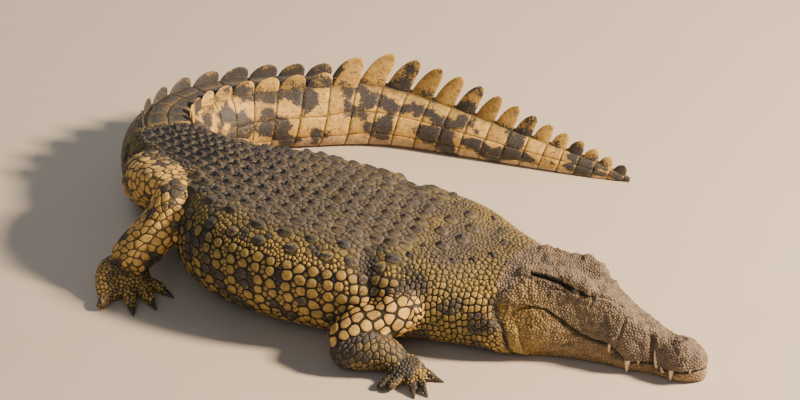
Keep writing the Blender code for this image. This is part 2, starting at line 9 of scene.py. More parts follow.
import bmesh
import bpy
import numpy as np
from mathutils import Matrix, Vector, kdtree, noise
from mathutils.bvhtree import BVHTree


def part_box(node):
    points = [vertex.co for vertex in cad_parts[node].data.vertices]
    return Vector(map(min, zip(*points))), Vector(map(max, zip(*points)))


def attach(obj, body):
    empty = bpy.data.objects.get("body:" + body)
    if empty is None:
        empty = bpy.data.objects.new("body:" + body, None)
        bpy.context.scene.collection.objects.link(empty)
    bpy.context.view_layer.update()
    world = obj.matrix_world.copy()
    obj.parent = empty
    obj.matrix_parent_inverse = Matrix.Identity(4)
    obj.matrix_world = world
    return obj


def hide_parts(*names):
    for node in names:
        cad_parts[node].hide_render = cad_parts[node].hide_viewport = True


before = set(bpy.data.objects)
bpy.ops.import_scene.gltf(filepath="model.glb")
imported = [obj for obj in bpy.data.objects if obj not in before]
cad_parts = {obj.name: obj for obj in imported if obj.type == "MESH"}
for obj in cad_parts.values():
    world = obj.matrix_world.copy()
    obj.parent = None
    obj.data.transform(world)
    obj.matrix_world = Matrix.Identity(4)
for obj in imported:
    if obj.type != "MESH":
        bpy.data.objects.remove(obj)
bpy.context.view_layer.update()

# ---------- floor, light and camera
# A studio floor of smooth pale board, a large warm key light from the animal's head end,
# and a long lens that looks down from its right side.

MIDDLE = Vector((0.0116, 0.3053, 0.0))      # the point on the floor that the camera looks at
CAMERA_DISTANCE = 12.0
CAMERA_DROP = math.radians(30)
LENS = 175.5                                # mm, on a sensor 36 mm wide


def to_linear(text):
    """An sRGB hex colour as linear red, green, blue and alpha."""
    channels = [int(text[i:i + 2], 16) / 255 for i in (1, 3, 5)]
    return tuple(c / 12.92 if c <= 0.04045 else ((c + 0.055) / 1.055) ** 2.4 for c in channels) + (1.0,)


def add_node(material, kind, inputs):
    """Add a node; inputs holds its properties, and numbers, hex colours or linked sockets."""
    node = material.node_tree.nodes.new(kind)
    for key, value in inputs.items():
        if isinstance(key, str) and hasattr(node, key):
            setattr(node, key, value)
        elif isinstance(value, bpy.types.NodeSocket):
            material.node_tree.links.new(value, node.inputs[key])
        else:
            node.inputs[key].default_value = to_linear(value) if isinstance(value, str) else value
    return node


def new_material(name):
    """An empty node material and its object coordinates."""
    material = bpy.data.materials.new(name)
    material.use_nodes = True
    material.node_tree.nodes.clear()
    return material, add_node(material, "ShaderNodeTexCoord", {}).outputs["Object"]


bpy.ops.object.select_all(action="DESELECT")
bpy.ops.mesh.primitive_plane_add(size=60.0, location=(0.0, 0.0, 0.0))
floor = bpy.context.object
floor.name = "floor"
board, place = new_material("painted_board")
grain = add_node(board, "ShaderNodeTexNoise", {"Scale": 3.0, "Detail": 3.0, "Vector": place})
shade = add_node(board, "ShaderNodeMix", {"data_type": "RGBA", 0: grain.outputs["Fac"],
                                          6: "#c9bcab", 7: "#cfc3b3"})
surface = add_node(board, "ShaderNodeBsdfPrincipled", {"Roughness": 0.85, "Base Color": shade.outputs[2]})
add_node(board, "ShaderNodeOutputMaterial", {"Surface": surface.outputs[0]})
floor.data.materials.append(board)

for name, spot, size, power, colour in (
    ("key", (6.0, -1.2, 4.4), 1.0, 1850.0, "#ffe4c2"),
    ("fill", (-1.5, -5.5, 4.0), 5.0, 58.0, "#f2f4ff"),
    ("rim", (-2.5, 5.0, 4.5), 3.0, 90.0, "#ffffff"),
):
    bpy.ops.object.light_add(type="AREA", location=spot)
    lamp = bpy.context.object
    lamp.name = name
    lamp.data.size = size
    lamp.data.energy = power
    lamp.data.color = to_linear(colour)[:3]
    lamp.rotation_euler = (-Vector(spot)).to_track_quat("-Z", "Y").to_euler()
world = bpy.data.worlds.new("studio")
world.use_nodes = True
background = world.node_tree.nodes["Background"]
background.inputs["Color"].default_value = to_linear("#dfe3ea")
background.inputs["Strength"].default_value = 0.20
bpy.context.scene.world = world

back_off = Vector((0.0, -math.cos(CAMERA_DROP), math.sin(CAMERA_DROP))) * CAMERA_DISTANCE
bpy.ops.object.camera_add(location=MIDDLE + back_off, rotation=(math.pi / 2 - CAMERA_DROP, 0.0, 0.0))
camera = bpy.context.object
camera.data.lens = LENS
camera.data.sensor_width = 36.0
bpy.context.scene.camera = camera

# ---------- skin
# The animal's whole hide in one piece, without scales: neck, trunk and tail are lofted along the
# spine, the head and legs start from the solids, and all are fused and smoothed under the scales.

HEAD = 0.555
LENGTH = 3.680
VENT = 1.960
SNOUT_TIP = (0.8856, -0.7257)
HEAD_HEADING = 152.5
SPINE_BENDS = ((0.69, 1.04, 11.5), (0.98, 1.68, -37.0), (1.70, 2.59, -123.5), (2.64, 3.04, -25.0))
HALF_WIDTH = (          # millimetres along and to the side
    (600, 196), (680, 222), (800, 262), (950, 295), (1150, 326), (1350, 318), (1470, 284), (1590, 208),
    (1700, 165), (1830, 155), (1950, 153), (2150, 130), (2400, 115), (2700, 98), (3000, 75), (3300, 50),
    (3550, 27), (3680, 9),
)
TOP = (                 # millimetres along and up
    (600, 240), (680, 262), (800, 302), (950, 322), (1150, 345), (1350, 352), (1470, 347), (1590, 336),
    (1700, 320), (1830, 292), (1950, 266), (2150, 227), (2400, 200), (2700, 190), (3000, 152), (3300, 96),
    (3550, 50), (3680, 14),
)
WIDEST = 0.45
SQUARENESS = 2.4
BELLY_SINK = 0.018
# Along the tail: how much narrower it is above than below, its lean to the right for each metre up, and
# the length of one ring of scutes.
PINCH = ((1.90, 0.0), (2.30, 0.12), (2.80, 0.30), (3.68, 0.35))
LEAN = ((1.90, 0.0), (2.30, 0.08), (2.60, 0.15), (3.68, 0.15))
WHORL_LENGTH = ((1.90, 0.074), (2.60, 0.084), (3.00, 0.072), (3.68, 0.044))
# The fold of the neck over the jaw, up and along as shares of the head, and the inset and the setback
# of its rounded edge.
NECK_FOLD = ((0.00, 0.975), (0.114, 0.992), (0.191, 1.013), (0.231, 1.040), (0.279, 1.070),
             (0.342, 1.080), (0.384, 1.040), (0.420, 0.980), (0.440, 0.960))
NECK_RIM = ((0.88, -0.040), (0.90, 0.004), (0.955, 0.0), (0.985, 0.005), (1.0, 0.015))
NECK_START = 0.62
FIRST_RING, RING_STEP = 0.66, 0.010
SPINE_POINTS = 737
BATCH = 20000           # points that are placed together
VOXEL = 0.0075
FLESH = [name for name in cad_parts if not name.startswith(("eye", "claw"))]
LOFTED = ("neck", "trunk", "tail")


def through(stations, unit=1):
    """A smooth function through (place, value) stations, without overshoot, both divided by unit."""
    x, y = np.array(stations, float).T / unit
    run, rise = np.diff(x), np.diff(y)
    slope = rise / run
    tangent = np.zeros(len(x))
    tangent[0], tangent[-1] = slope[0], slope[-1]
    for i in range(1, len(x) - 1):
        if slope[i - 1] * slope[i] > 0:
            a, b = 2 * run[i] + run[i - 1], run[i] + 2 * run[i - 1]
            tangent[i] = (a + b) / (a / slope[i - 1] + b / slope[i])

    def value(at):
        at = np.clip(np.asarray(at, float), x[0], x[-1])
        i = np.clip(np.searchsorted(x, at) - 1, 0, len(run) - 1)
        t = (at - x[i]) / run[i]
        return ((1 + 2 * t) * (1 - t) ** 2 * y[i] + t * (1 - t) ** 2 * run[i] * tangent[i]
                + t * t * (3 - 2 * t) * y[i + 1] + t * t * (t - 1) * run[i] * tangent[i + 1])

    return value


def step_up(value, low, high):
    """0 below low, 1 above high, smooth between; also falls where high is below low."""
    t = np.clip((np.asarray(value, float) - low) / (high - low), 0, 1)
    return t * t * (3 - 2 * t)


def bell(value, middle, width):
    """A smooth hump, 1 where the value is at its middle."""
    return np.exp(-((value - middle) / width) ** 2)


half_width_at, top_at, pinch_at = through(HALF_WIDTH, 1000), through(TOP, 1000), through(PINCH)
fold_at, lean_at, whorl_length_at = through(NECK_FOLD), through(LEAN), through(WHORL_LENGTH)
ALONG = np.linspace(0.0, LENGTH, SPINE_POINTS)
heading = np.full(len(ALONG), HEAD_HEADING)
for start, end, turn in SPINE_BENDS:
    heading += turn * step_up(ALONG, start, end)
SPINE_ANGLE = np.radians(heading)
stride = ALONG[1]
SPINE_X = SNOUT_TIP[0] + np.concatenate([[0], np.cumsum(np.cos(SPINE_ANGLE[:-1]))]) * stride
SPINE_Y = SNOUT_TIP[1] + np.concatenate([[0], np.cumsum(np.sin(SPINE_ANGLE[:-1]))]) * stride


def on_body(along, left, up):
    """The point this far along the spine, to the left of it and above the ground."""
    angle = np.interp(along, ALONG, SPINE_ANGLE)
    x = np.interp(along, ALONG, SPINE_X) + left * np.sin(angle)
    y = np.interp(along, ALONG, SPINE_Y) - left * np.cos(angle)
    return np.stack(np.broadcast_arrays(x, y, np.asarray(up, float)), axis=-1)


def body_places(points):
    """Along, left and up of points, from the nearest stretch of the spine."""
    along, left = np.empty(len(points)), np.empty(len(points))
    for first in range(0, len(points), BATCH):
        part = points[first:first + BATCH]
        far = (part[:, 0:1] - SPINE_X) ** 2 + (part[:, 1:2] - SPINE_Y) ** 2
        nearest = far.argmin(axis=1)
        angle = SPINE_ANGLE[nearest]
        dx, dy = part[:, 0] - SPINE_X[nearest], part[:, 1] - SPINE_Y[nearest]
        along[first:first + BATCH] = ALONG[nearest] + dx * np.cos(angle) + dy * np.sin(angle)
        left[first:first + BATCH] = dx * np.sin(angle) - dy * np.cos(angle)
    return along, left, points[:, 2]


def section(along, angle):
    """Left and up of the body's outline at this place; angle 0 is the left side, pi / 2 the top."""
    half_width, top = half_width_at(along), top_at(along)
    widest = WIDEST * top
    across = np.sign(np.cos(angle)) * np.abs(np.cos(angle)) ** (2 / SQUARENESS)
    rise = np.sign(np.sin(angle)) * np.abs(np.sin(angle)) ** (2 / SQUARENESS)
    up = np.where(rise > 0, widest + (top - widest) * rise, widest + (widest + BELLY_SINK) * rise)
    left = half_width * across * np.where(rise > 0, 1 - pinch_at(along) * rise, 1.0)
    up = np.maximum(up, 0.0)
    return left - lean_at(along) * up, up


def mesh_object(name, points, faces):
    """A new object from points and faces, each face a tuple of point numbers."""
    mesh = bpy.data.meshes.new(name)
    mesh.from_pydata(np.asarray(points).tolist(), [], faces)
    piece = bpy.data.objects.new(name, mesh)
    bpy.context.scene.collection.objects.link(piece)
    return piece


def tube_faces(first, rings, sides):
    """The quads and both end caps of a tube whose points are numbered from first, ring by ring."""
    last = first + (rings - 1) * sides
    quads = [(start + k, start + (k + 1) % sides, start + (k + 1) % sides + sides, start + k + sides)
             for start in range(first, last, sides) for k in range(sides)]
    return quads + [tuple(reversed(range(first, first + sides))), tuple(range(last, last + sides))]


def points_of(mesh):
    """The places of a mesh's points."""
    return np.array([v.co[:] for v in mesh.vertices])


def set_points(mesh, points):
    """Move a mesh's points to these places."""
    mesh.vertices.foreach_set("co", points.ravel())
    mesh.update()


def take_up(piece):
    """Make this the only selected piece, and the active one."""
    bpy.ops.object.select_all(action="DESELECT")
    piece.select_set(True)
    bpy.context.view_layer.objects.active = piece


def face_outward(piece, apart=0.000001):
    """Merge points that are less than this apart, and turn every face outwards."""
    take_up(piece)
    bpy.ops.object.mode_set(mode="EDIT")
    bpy.ops.mesh.select_all(action="SELECT")
    bpy.ops.mesh.remove_doubles(threshold=apart)
    bpy.ops.mesh.normals_make_consistent(inside=False)
    bpy.ops.object.mode_set(mode="OBJECT")


turns = np.arange(72) * math.tau / 72
rings = []
for inset, behind in NECK_RIM:
    left, up = section(NECK_START, turns)
    start = HEAD * fold_at(up / HEAD) + behind
    left, up = section(start, turns)
    rings.append(on_body(start, left * inset, up * inset))
rings += [on_body(place, *section(place, turns)) for place in np.arange(FIRST_RING, LENGTH, RING_STEP)]
skin = mesh_object("skin", np.concatenate(rings), tube_faces(0, len(rings), len(turns)))
bpy.ops.object.select_all(action="DESELECT")
for name in FLESH + ["eye_left", "eye_right"]:
    if not name.startswith(LOFTED):
        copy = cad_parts[name].copy()
        copy.data = copy.data.copy()
        bpy.context.scene.collection.objects.link(copy)
        copy.parent = None
        copy.select_set(True)
skin.select_set(True)
bpy.context.view_layer.objects.active = skin
bpy.ops.object.join()
skin.data.materials.clear()
face_outward(skin, 0.0001)
fuse = skin.modifiers.new("fuse", "REMESH")
fuse.mode = "VOXEL"
fuse.voxel_size = VOXEL
soften = skin.modifiers.new("soften", "SMOOTH")
soften.iterations = 5
bpy.ops.object.modifier_apply(modifier=fuse.name)
bpy.ops.object.modifier_apply(modifier=soften.name)

# The head's part of the skin is cut finer, evened out, and then carved: lips, lids, ears, nostrils,
# folds and the rough bone under the hide, all set out in shares of the head's length.
LIP_WIDTH = (           # thousandths of the head along and to the side
    (0, 30), (50, 81), (100, 102), (155, 104), (220, 92), (255, 80), (300, 98), (340, 115), (385, 130),
    (430, 131), (510, 127), (560, 132), (640, 154), (745, 192), (830, 222), (920, 248), (1000, 268),
    (1100, 280),
)
LIP_HEIGHT = (          # thousandths of the head along and up
    (0, 84), (50, 82), (100, 72), (155, 64), (220, 58), (255, 66), (300, 76), (340, 74), (385, 68),
    (430, 88), (470, 117), (510, 140), (560, 144), (640, 172), (700, 212), (745, 256), (790, 292),
    (830, 318), (920, 326), (1100, 326),
)
MOUTH_CORNER = 0.93
EYE_PLACE = (0.700, 0.116, 0.404)   # along, to the side and up, as shares of the head
EYE_RADIUS = 0.0200
LID_RADIUS = 0.0222
SLIT_MIDDLE = (0.700, 0.424)        # along and up, as shares of the head
SLIT_HALF = (0.075, 0.0112)
SLIT_SLOPE = 0.36
lip_width_at, lip_height_at = through(LIP_WIDTH, 1000), through(LIP_HEIGHT, 1000)

# Each fold: its depth and width in metres, and its line as shares along, out to the side, and up.
FOLDS = {
    "ear": (0.0100, 0.0050, ((0.940, 0.140, 0.452), (0.870, 0.138, 0.452), (0.803, 0.140, 0.448))),
    "behind the eye": (0.0045, 0.0030, ((0.803, 0.140, 0.448), (0.737, 0.142, 0.442))),
    "under the eye": (0.0040, 0.0030, ((0.790, 0.160, 0.420), (0.741, 0.155, 0.410),
                                       (0.688, 0.149, 0.396), (0.640, 0.128, 0.388))),
    "mouth corner": (0.0050, 0.0040, ((0.900, 0.245, 0.322), (0.945, 0.259, 0.306), (1.000, 0.276, 0.270))),
    "jaw": (0.0030, 0.0060, ((0.960, 0.270, 0.240), (0.930, 0.280, 0.170), (0.905, 0.270, 0.090))),
    "notch": (0.0080, 0.0075, ((0.288, 0.062, 0.217), (0.277, 0.081, 0.152), (0.262, 0.083, 0.080))),
    "behind the notch": (0.0030, 0.0040, ((0.205, 0.072, 0.170), (0.200, 0.095, 0.100))),
    "behind the lobe": (0.0050, 0.0050, ((0.440, 0.070, 0.285), (0.440, 0.107, 0.230),
                                         (0.462, 0.128, 0.150))),
    "cheek": (0.0042, 0.0045, ((0.540, 0.095, 0.310), (0.516, 0.115, 0.248), (0.500, 0.127, 0.180))),
    "cheek bone": (0.0030, 0.0045, ((0.640, 0.130, 0.330), (0.600, 0.128, 0.260), (0.590, 0.135, 0.200))),
    "snout": (0.0030, 0.0040, ((0.580, 0.088, 0.391), (0.521, 0.058, 0.370), (0.469, 0.043, 0.336))),
    "before the eye": (0.0032, 0.0035, ((0.618, 0.112, 0.420), (0.600, 0.108, 0.380), (0.612, 0.125, 0.340))),
    "nostril": (0.0065, 0.0026, ((0.128, 0.018, 0.213), (0.142, 0.034, 0.208), (0.165, 0.038, 0.203),
                                 (0.182, 0.026, 0.202))),
    "chin": (0.0030, 0.0030, ((0.110, 0.100, 0.030), (0.160, 0.098, 0.020))),
}
# Each swelling: its height and width in metres, and its place in the same shares.
SWELLINGS = (
    (0.0050, 0.014, (0.155, 0.027, 0.200)), (0.0080, 0.016, (0.985, 0.125, 0.462)),
    (0.0075, 0.016, (0.650, 0.098, 0.455)), (0.0065, 0.016, (0.735, 0.112, 0.470)),
    (-0.0060, 0.024, (0.700, 0.000, 0.450)), (0.0040, 0.018, (0.560, 0.060, 0.395)),
    (0.0060, 0.045, (0.860, 0.240, 0.200)), (0.0035, 0.015, (0.480, 0.125, 0.190)),
    (0.0045, 0.018, (0.395, 0.122, 0.160)), (0.0030, 0.012, (0.340, 0.060, 0.260)),
    (0.0030, 0.012, (0.420, 0.050, 0.300)), (0.0040, 0.010, (0.628, 0.116, 0.412)),
    (0.0030, 0.016, (0.100, 0.095, 0.110)), (0.0035, 0.012, (0.300, 0.000, 0.245)),
)

BODY_FOLDS = (
    (0.011, 0.032, ((1.790, 0.330, 0.545), (1.800, 0.420, 0.500), (1.780, 0.500, 0.420),
                    (1.720, 0.560, 0.340), (1.660, 0.580, 0.200))),
    (0.006, 0.008, ((1.300, 0.380, 0.330), (1.270, 0.400, 0.200), (1.240, 0.380, 0.080))),
    (0.005, 0.008, ((1.480, 0.440, 0.330), (1.440, 0.460, 0.200), (1.400, 0.440, 0.080))),
)

CUT_END, EVEN_END = 0.640, 0.660        # along the spine
HEAD_SIDE = 0.2                         # the whole head lies beyond this X
EVENINGS = 10
corners = points_of(skin.data)
on_head = (body_places(corners)[0] < CUT_END) & (corners[:, 0] > HEAD_SIDE)
form = bmesh.new()
form.from_mesh(skin.data)
inner = [edge for edge in form.edges if all(on_head[v.index] for v in edge.verts)]
bmesh.ops.subdivide_edges(form, edges=inner, cuts=3, use_grid_fill=True, smooth=0.6)
form.to_mesh(skin.data)
form.free()

skin_mesh = skin.data
skin_points = points_of(skin_mesh)
edges = np.array([e.vertices[:] for e in skin_mesh.edges])
head = (body_places(skin_points)[0] < EVEN_END) & (skin_points[:, 0] > HEAD_SIDE)
for turn in range(EVENINGS):
    total, number = np.zeros_like(skin_points), np.zeros(len(skin_points))
    for a, b in (edges.T, edges.T[::-1]):
        np.add.at(total, a, skin_points[b])
        np.add.at(number, a, 1)
    skin_points = np.where(head[:, None], 0.5 * skin_points + 0.5 * total / number[:, None], skin_points)
set_points(skin_mesh, skin_points)

outward = np.array([v.normal[:] for v in skin_mesh.vertices])
along, left, up = body_places(skin_points)
spot = np.stack([along, np.abs(left), up], axis=1) / HEAD       # places as shares of the head
head = (spot[:, 0] < 1.12) & (skin_points[:, 0] > HEAD_SIDE)
fade = step_up(spot[:, 0], 1.12, 1.02) * head


def off_line(spot, line):
    """How far each place is from a line of places, in metres, and how far along the line, from 0 to 1."""
    best, share = np.full(len(spot), 9.0), np.zeros(len(spot))
    for i, (a, b) in enumerate(zip(line, line[1:])):
        a, b = np.array(a), np.array(b)
        t = np.clip(((spot - a) @ (b - a)) / ((b - a) @ (b - a)), 0, 1)
        far = np.linalg.norm(spot - a - t[:, None] * (b - a), axis=1) * HEAD
        share = np.where(far < best, (i + t) / (len(line) - 1), share)
        best = np.minimum(best, far)
    return best, share


def noise_at(points, scale):
    """Smooth noise from -1 to 1, with about this many humps to the metre."""
    return np.array([noise.noise(Vector(point) * scale) for point in points.tolist()])


lift = np.zeros(len(skin_points))
for high, wide, middle in SWELLINGS:
    lift += 1.3 * high * bell(np.linalg.norm(spot - np.array(middle), axis=1) * HEAD, 0, wide)
for deep, wide, line in FOLDS.values():
    far, share = off_line(spot, line)
    lift -= 1.5 * deep * bell(far, 0, wide) * (1 - 0.5 * share)
    lift += 0.3 * deep * bell(far, 2.2 * wide, wide)
rough = np.zeros(len(skin_points))
rough[head] = 0.7 * noise_at(skin_points[head], 30) + noise_at(skin_points[head], 60) \
    + 0.5 * noise_at(skin_points[head], 130)
lift += 0.0036 * rough * step_up(spot[:, 2], 0.05, 0.2)
below_lip = lip_height_at(spot[:, 0]) - spot[:, 2]
wrinkled = step_up(below_lip, 0.01, 0.04) * step_up(spot[:, 0], 0.40, 0.5) * step_up(spot[:, 0], 1.0, 0.9)
lift += 0.0009 * wrinkled * np.sin(spot[:, 0] * HEAD / 0.0016 + 4 * rough)
skin_points = skin_points + outward * (lift * fade)[:, None]

for deep, wide, line in BODY_FOLDS:
    far = off_line(spot, line)[0]
    skin_points = skin_points - outward * (deep * bell(far, 0, wide))[:, None]
    skin_points = skin_points + outward * (0.35 * deep * bell(far, 2.3 * wide, wide))[:, None]

# The mouth line, pressed in towards the midline, and the upper lip that hangs over it.
angle = np.interp(along, ALONG, SPINE_ANGLE)
aside = np.stack([np.sin(angle), -np.cos(angle), np.zeros(len(angle))], axis=1) * np.sign(left)[:, None]
lips = [(u, float(lip_width_at(u)), float(lip_height_at(u))) for u in np.arange(0.0, MOUTH_CORNER, 0.02)]
far, share = off_line(spot, lips)
gape = step_up(share, 0.40, 0.52) * step_up(share, 0.86, 0.76)      # the lips part a little at the cheek
press = (0.0150 + 0.0030 * gape) * bell(far, 0, 0.0045 + 0.0022 * gape) * (1 - 0.7 * share ** 2)
hang = 0.0022 * bell(far, 0.0065, 0.004) * (below_lip < 0)
skin_points += (outward * 0.5 + aside * 0.5) * ((hang - press) * fade)[:, None]

def slit_at(u, z):
    """How far out from the middle of the eye's slit these shares of the head are, 1 on its edge."""
    u, z = u - SLIT_MIDDLE[0], z - SLIT_MIDDLE[1]
    return np.hypot(u / SLIT_HALF[0], (z - SLIT_SLOPE * u) / SLIT_HALF[1])


# The lids: the skin swells over the eyeball and parts in a slit.
for sign in (1, -1):
    eye = on_body(EYE_PLACE[0] * HEAD, sign * EYE_PLACE[1] * HEAD, EYE_PLACE[2] * HEAD)
    ray = skin_points - eye
    far = np.linalg.norm(ray, axis=1)
    mine = (far < 0.05) & (np.sign(left) == sign)
    pulled = np.where(far < LID_RADIUS, LID_RADIUS, far)
    pulled = np.where(slit_at(spot[:, 0], spot[:, 2]) < 1.0, EYE_RADIUS - 0.003, pulled)
    skin_points = np.where(mine[:, None], eye + ray / far[:, None] * pulled[:, None], skin_points)

# The solids in one tree, which tells what part of the animal a place belongs to.
node_of, node_points, node_faces = [], [], []
for name in FLESH:
    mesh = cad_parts[name].data
    base = len(node_points)
    node_points += [v.co.copy() for v in mesh.vertices]
    node_faces += [[base + i for i in face.vertices] for face in mesh.polygons]
    node_of += [name] * len(mesh.polygons)
node_tree = BVHTree.FromPolygons(node_points, node_faces)


def part_of(points):
    """The name of the solid nearest to each point."""
    return [node_of[node_tree.find_nearest(point)[2]] for point in points.tolist()]


# Behind the head the skin sinks by the depth of the scales over it, most under the keels of the back;
# hands and feet keep the solids' full size instead, out to the claws.
COAT_DEPTH = 0.003
KEEL_DEPTH = 0.014
ridge_zone = step_up(up / top_at(along), 0.90, 1.0) * step_up(along, 0.66, 0.80) * step_up(along, 2.05, 1.90)
sunk = (COAT_DEPTH + KEEL_DEPTH * ridge_zone) * step_up(along, 0.60, 0.68)
skin_points -= outward * sunk[:, None]
for i in np.nonzero((skin_points[:, 2] < 0.13) & (along > 0.66) & (up / top_at(along) < 0.9))[0]:
    spot_there, _, face, _ = node_tree.find_nearest(skin_points[i])
    if node_of[face].startswith(("hand", "foot")):
        skin_points[i] = spot_there

# Each toe's blunt end is drawn out to close round the root of its claw.
CUFF = 0.004
for name in [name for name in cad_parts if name.startswith("claw")]:
    horn_points = points_of(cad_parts[name].data)
    lowest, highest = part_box(name.removeprefix("claw_")[:-2])
    from_palm = np.linalg.norm(horn_points - (np.array(lowest) + np.array(highest)) / 2, axis=1)
    at_root = from_palm < from_palm.min() + 0.3 * np.ptp(from_palm)
    root = horn_points[at_root].mean(axis=0)
    ahead = horn_points[~at_root].mean(axis=0) - root
    ahead /= np.linalg.norm(ahead)
    radius = np.linalg.norm(horn_points[at_root] - root, axis=1).max()
    forward = (skin_points - root) @ ahead
    aside = skin_points - root - forward[:, None] * ahead
    spread = np.linalg.norm(aside, axis=1) + 1e-9
    toe = (spread < 1.8 * radius) & (np.abs(forward) < 0.020)
    end = forward[toe].max()
    forward[toe] += max(CUFF - end, 0) * step_up(forward[toe], -0.020, end)
    blunt = 1.25 * radius * np.sqrt(np.clip(1 - np.maximum(forward / CUFF, 0) ** 2, 0, 1))
    wider = np.maximum(spread, blunt * step_up(forward, -0.014, -0.004))
    skin_points[toe] = (root + forward[:, None] * ahead + aside * (wider / spread)[:, None])[toe]
skin_points[:, 2] = np.maximum(skin_points[:, 2], 0.0)
set_points(skin_mesh, skin_points)
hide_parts(*FLESH)
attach(skin, "root")

# ---------- tail crest
# Upright fins of horny hide, one for each ring of tail scutes: two low rows on the root of the tail,
# then one tall row.  Each is lofted from flat ovals that lean backwards and close in a round tip.

SINGLE_CREST_FROM = 2.74
CREST_HEIGHT = ((1.90, 0.020), (2.20, 0.033), (2.68, 0.041), (2.78, 0.098), (3.00, 0.094),
                (3.20, 0.074), (3.45, 0.040), (3.68, 0.014))
CREST_SPREAD = ((1.90, 0.085), (2.30, 0.055), (2.74, 0.025))
CREST_ROOT = 0.016          # how deep a fin stands in the skin
CREST_RAKE = 0.60
CREST_THICKNESS = 0.019
CREST_LEVELS = 12
CREST_SIDES = 18
crest_height_at, crest_spread_at = through(CREST_HEIGHT), through(CREST_SPREAD)


def top_surface(along, left):
    """Height of the body's upper side at this distance from its midline."""
    half_width, top = half_width_at(along), top_at(along)
    across = min(0.98, abs(left) / (half_width * (1 - pinch_at(along))))
    return WIDEST * top + (1 - WIDEST) * top * (1 - across ** SQUARENESS) ** (1 / SQUARENESS)


WHORLS = [VENT]
while WHORLS[-1] + whorl_length_at(WHORLS[-1]) < LENGTH:
    WHORLS.append(WHORLS[-1] + float(whorl_length_at(WHORLS[-1])))

points, faces = [], []
for start, end in zip(WHORLS, WHORLS[1:]):
    middle, length = (start + end) / 2, end - start
    spread = crest_spread_at(middle)
    for left in ((0.0,) if middle > SINGLE_CREST_FROM else (-spread, spread)):
        height = crest_height_at(middle)
        base = top_surface(middle, left)
        root = base - min(CREST_ROOT, base / 2)
        first = len(points)
        for level in range(CREST_LEVELS):
            share = (level / (CREST_LEVELS - 1)) ** 0.8
            up = root + share * (base + height - root)
            back = middle + CREST_RAKE * height * share ** 1.2
            round_off = (1 - 0.97 * share ** 6) ** 0.5
            reach = length * (0.492 - 0.16 * share ** 2) * round_off
            thick = CREST_THICKNESS / 2 * (1 - 0.72 * share ** 0.8) * (0.35 + 0.65 * round_off)
            for k in range(CREST_SIDES):
                turn = math.tau * k / CREST_SIDES
                side = left + thick * math.sin(turn) - lean_at(middle) * up
                points.append(on_body(back + reach * math.cos(turn), side, up))
        faces += tube_faces(first, CREST_LEVELS, CREST_SIDES)
crest = mesh_object("tail_crest", points, faces)
face_outward(crest)
bpy.ops.object.shade_smooth()
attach(crest, "root")

# ---------- teeth
# Ivory cones, slightly curved and glossy, that show over the lip with the mouth shut: the upper ones
# hang outside the lower jaw, and one long lower pair stands up in the notches of the snout.

UPPER_TEETH = ((0.060, 0.005, 0.010), (0.158, 0.013, 0.054), (0.336, 0.006, 0.014),
               (0.392, 0.0155, 0.064), (0.497, 0.009, 0.036))     # place, radius and length, as shares
LOWER_TEETH = ((0.250, 0.0120, 0.088), (0.208, 0.008, 0.022))
TOOTH_ROOT = 0.016      # the part hidden in the lip
TOOTH_SIDES, TOOTH_RINGS = 14, 9
points, faces = [], []
for row, upward, inward, lean in ((UPPER_TEETH, -1, 0.3, 0.004), (LOWER_TEETH, 1, 0.7, 0.016)):
    for place, radius, length in row:
        for sign in (1, -1):
            out = lip_width_at(place) - inward * radius
            root = lip_height_at(place) - upward * TOOTH_ROOT
            reach = length + TOOTH_ROOT
            first = len(points)
            for ring in range(TOOTH_RINGS):
                share = ring / (TOOTH_RINGS - 1)
                size = radius * HEAD * (1 - share ** 1.7) ** 0.75 + 0.0002
                middle = on_body((place + lean * share) * HEAD,
                                 sign * (out + upward * 0.010 * share * (1 - share)) * HEAD,
                                 (root + upward * reach * share) * HEAD)
                for k in range(TOOTH_SIDES):
                    turn = math.tau * k / TOOTH_SIDES
                    points.append(middle + np.array([math.cos(turn), math.sin(turn), 0.0]) * size)
            faces += tube_faces(first, TOOTH_RINGS, TOOTH_SIDES)
teeth = mesh_object("teeth", points, faces)
face_outward(teeth)
bpy.ops.object.shade_smooth()
ivory, place = new_material("tooth_ivory")      # enamel, glossy, with brown stains
stain = add_node(ivory, "ShaderNodeTexNoise", {"Scale": 160.0, "Detail": 4.0, "Vector": place})
shade = add_node(ivory, "ShaderNodeMix", {"data_type": "RGBA", 0: stain.outputs["Fac"],
                                          6: "#e9dcb8", 7: "#b8935a"})
surface = add_node(ivory, "ShaderNodeBsdfPrincipled", {"Roughness": 0.28, "Base Color": shade.outputs[2]})
add_node(ivory, "ShaderNodeOutputMaterial", {"Surface": surface.outputs[0]})
teeth.data.materials.append(ivory)
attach(teeth, "root")

# ---------- places for scales
# Every scale starts as a seed on the skin: its centre, half size, length, height and keel.  Rows and rings
# are set out along the spine first, and small scales then fill whatever room is left, down to the toes.

random.seed(7)
chance = np.random.default_rng(7)
NODE_MIDDLE = {name: sum((Vector(c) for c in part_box(name)), Vector()) / 2 for name in FLESH}
PARENT = {"upper_arm": "trunk_front", "forearm": "upper_arm", "hand": "forearm",
          "thigh": "trunk_rear", "shank": "thigh", "foot": "shank"}


def kind_of(name):
    """A solid's name without its side."""
    return name.replace("_left", "").replace("_right", "")


def middle_before(name):
    """The middle of the part that this part of a leg is joined to."""
    before = PARENT[kind_of(name)]
    return NODE_MIDDLE[name.replace(kind_of(name), before) if before in PARENT else before]


skin_normals = np.array([v.normal[:] for v in skin_mesh.vertices])
skin_faces = [tuple(face.vertices) for face in skin_mesh.polygons]
skin_tree = BVHTree.FromPolygons(skin_points.tolist(), skin_faces)


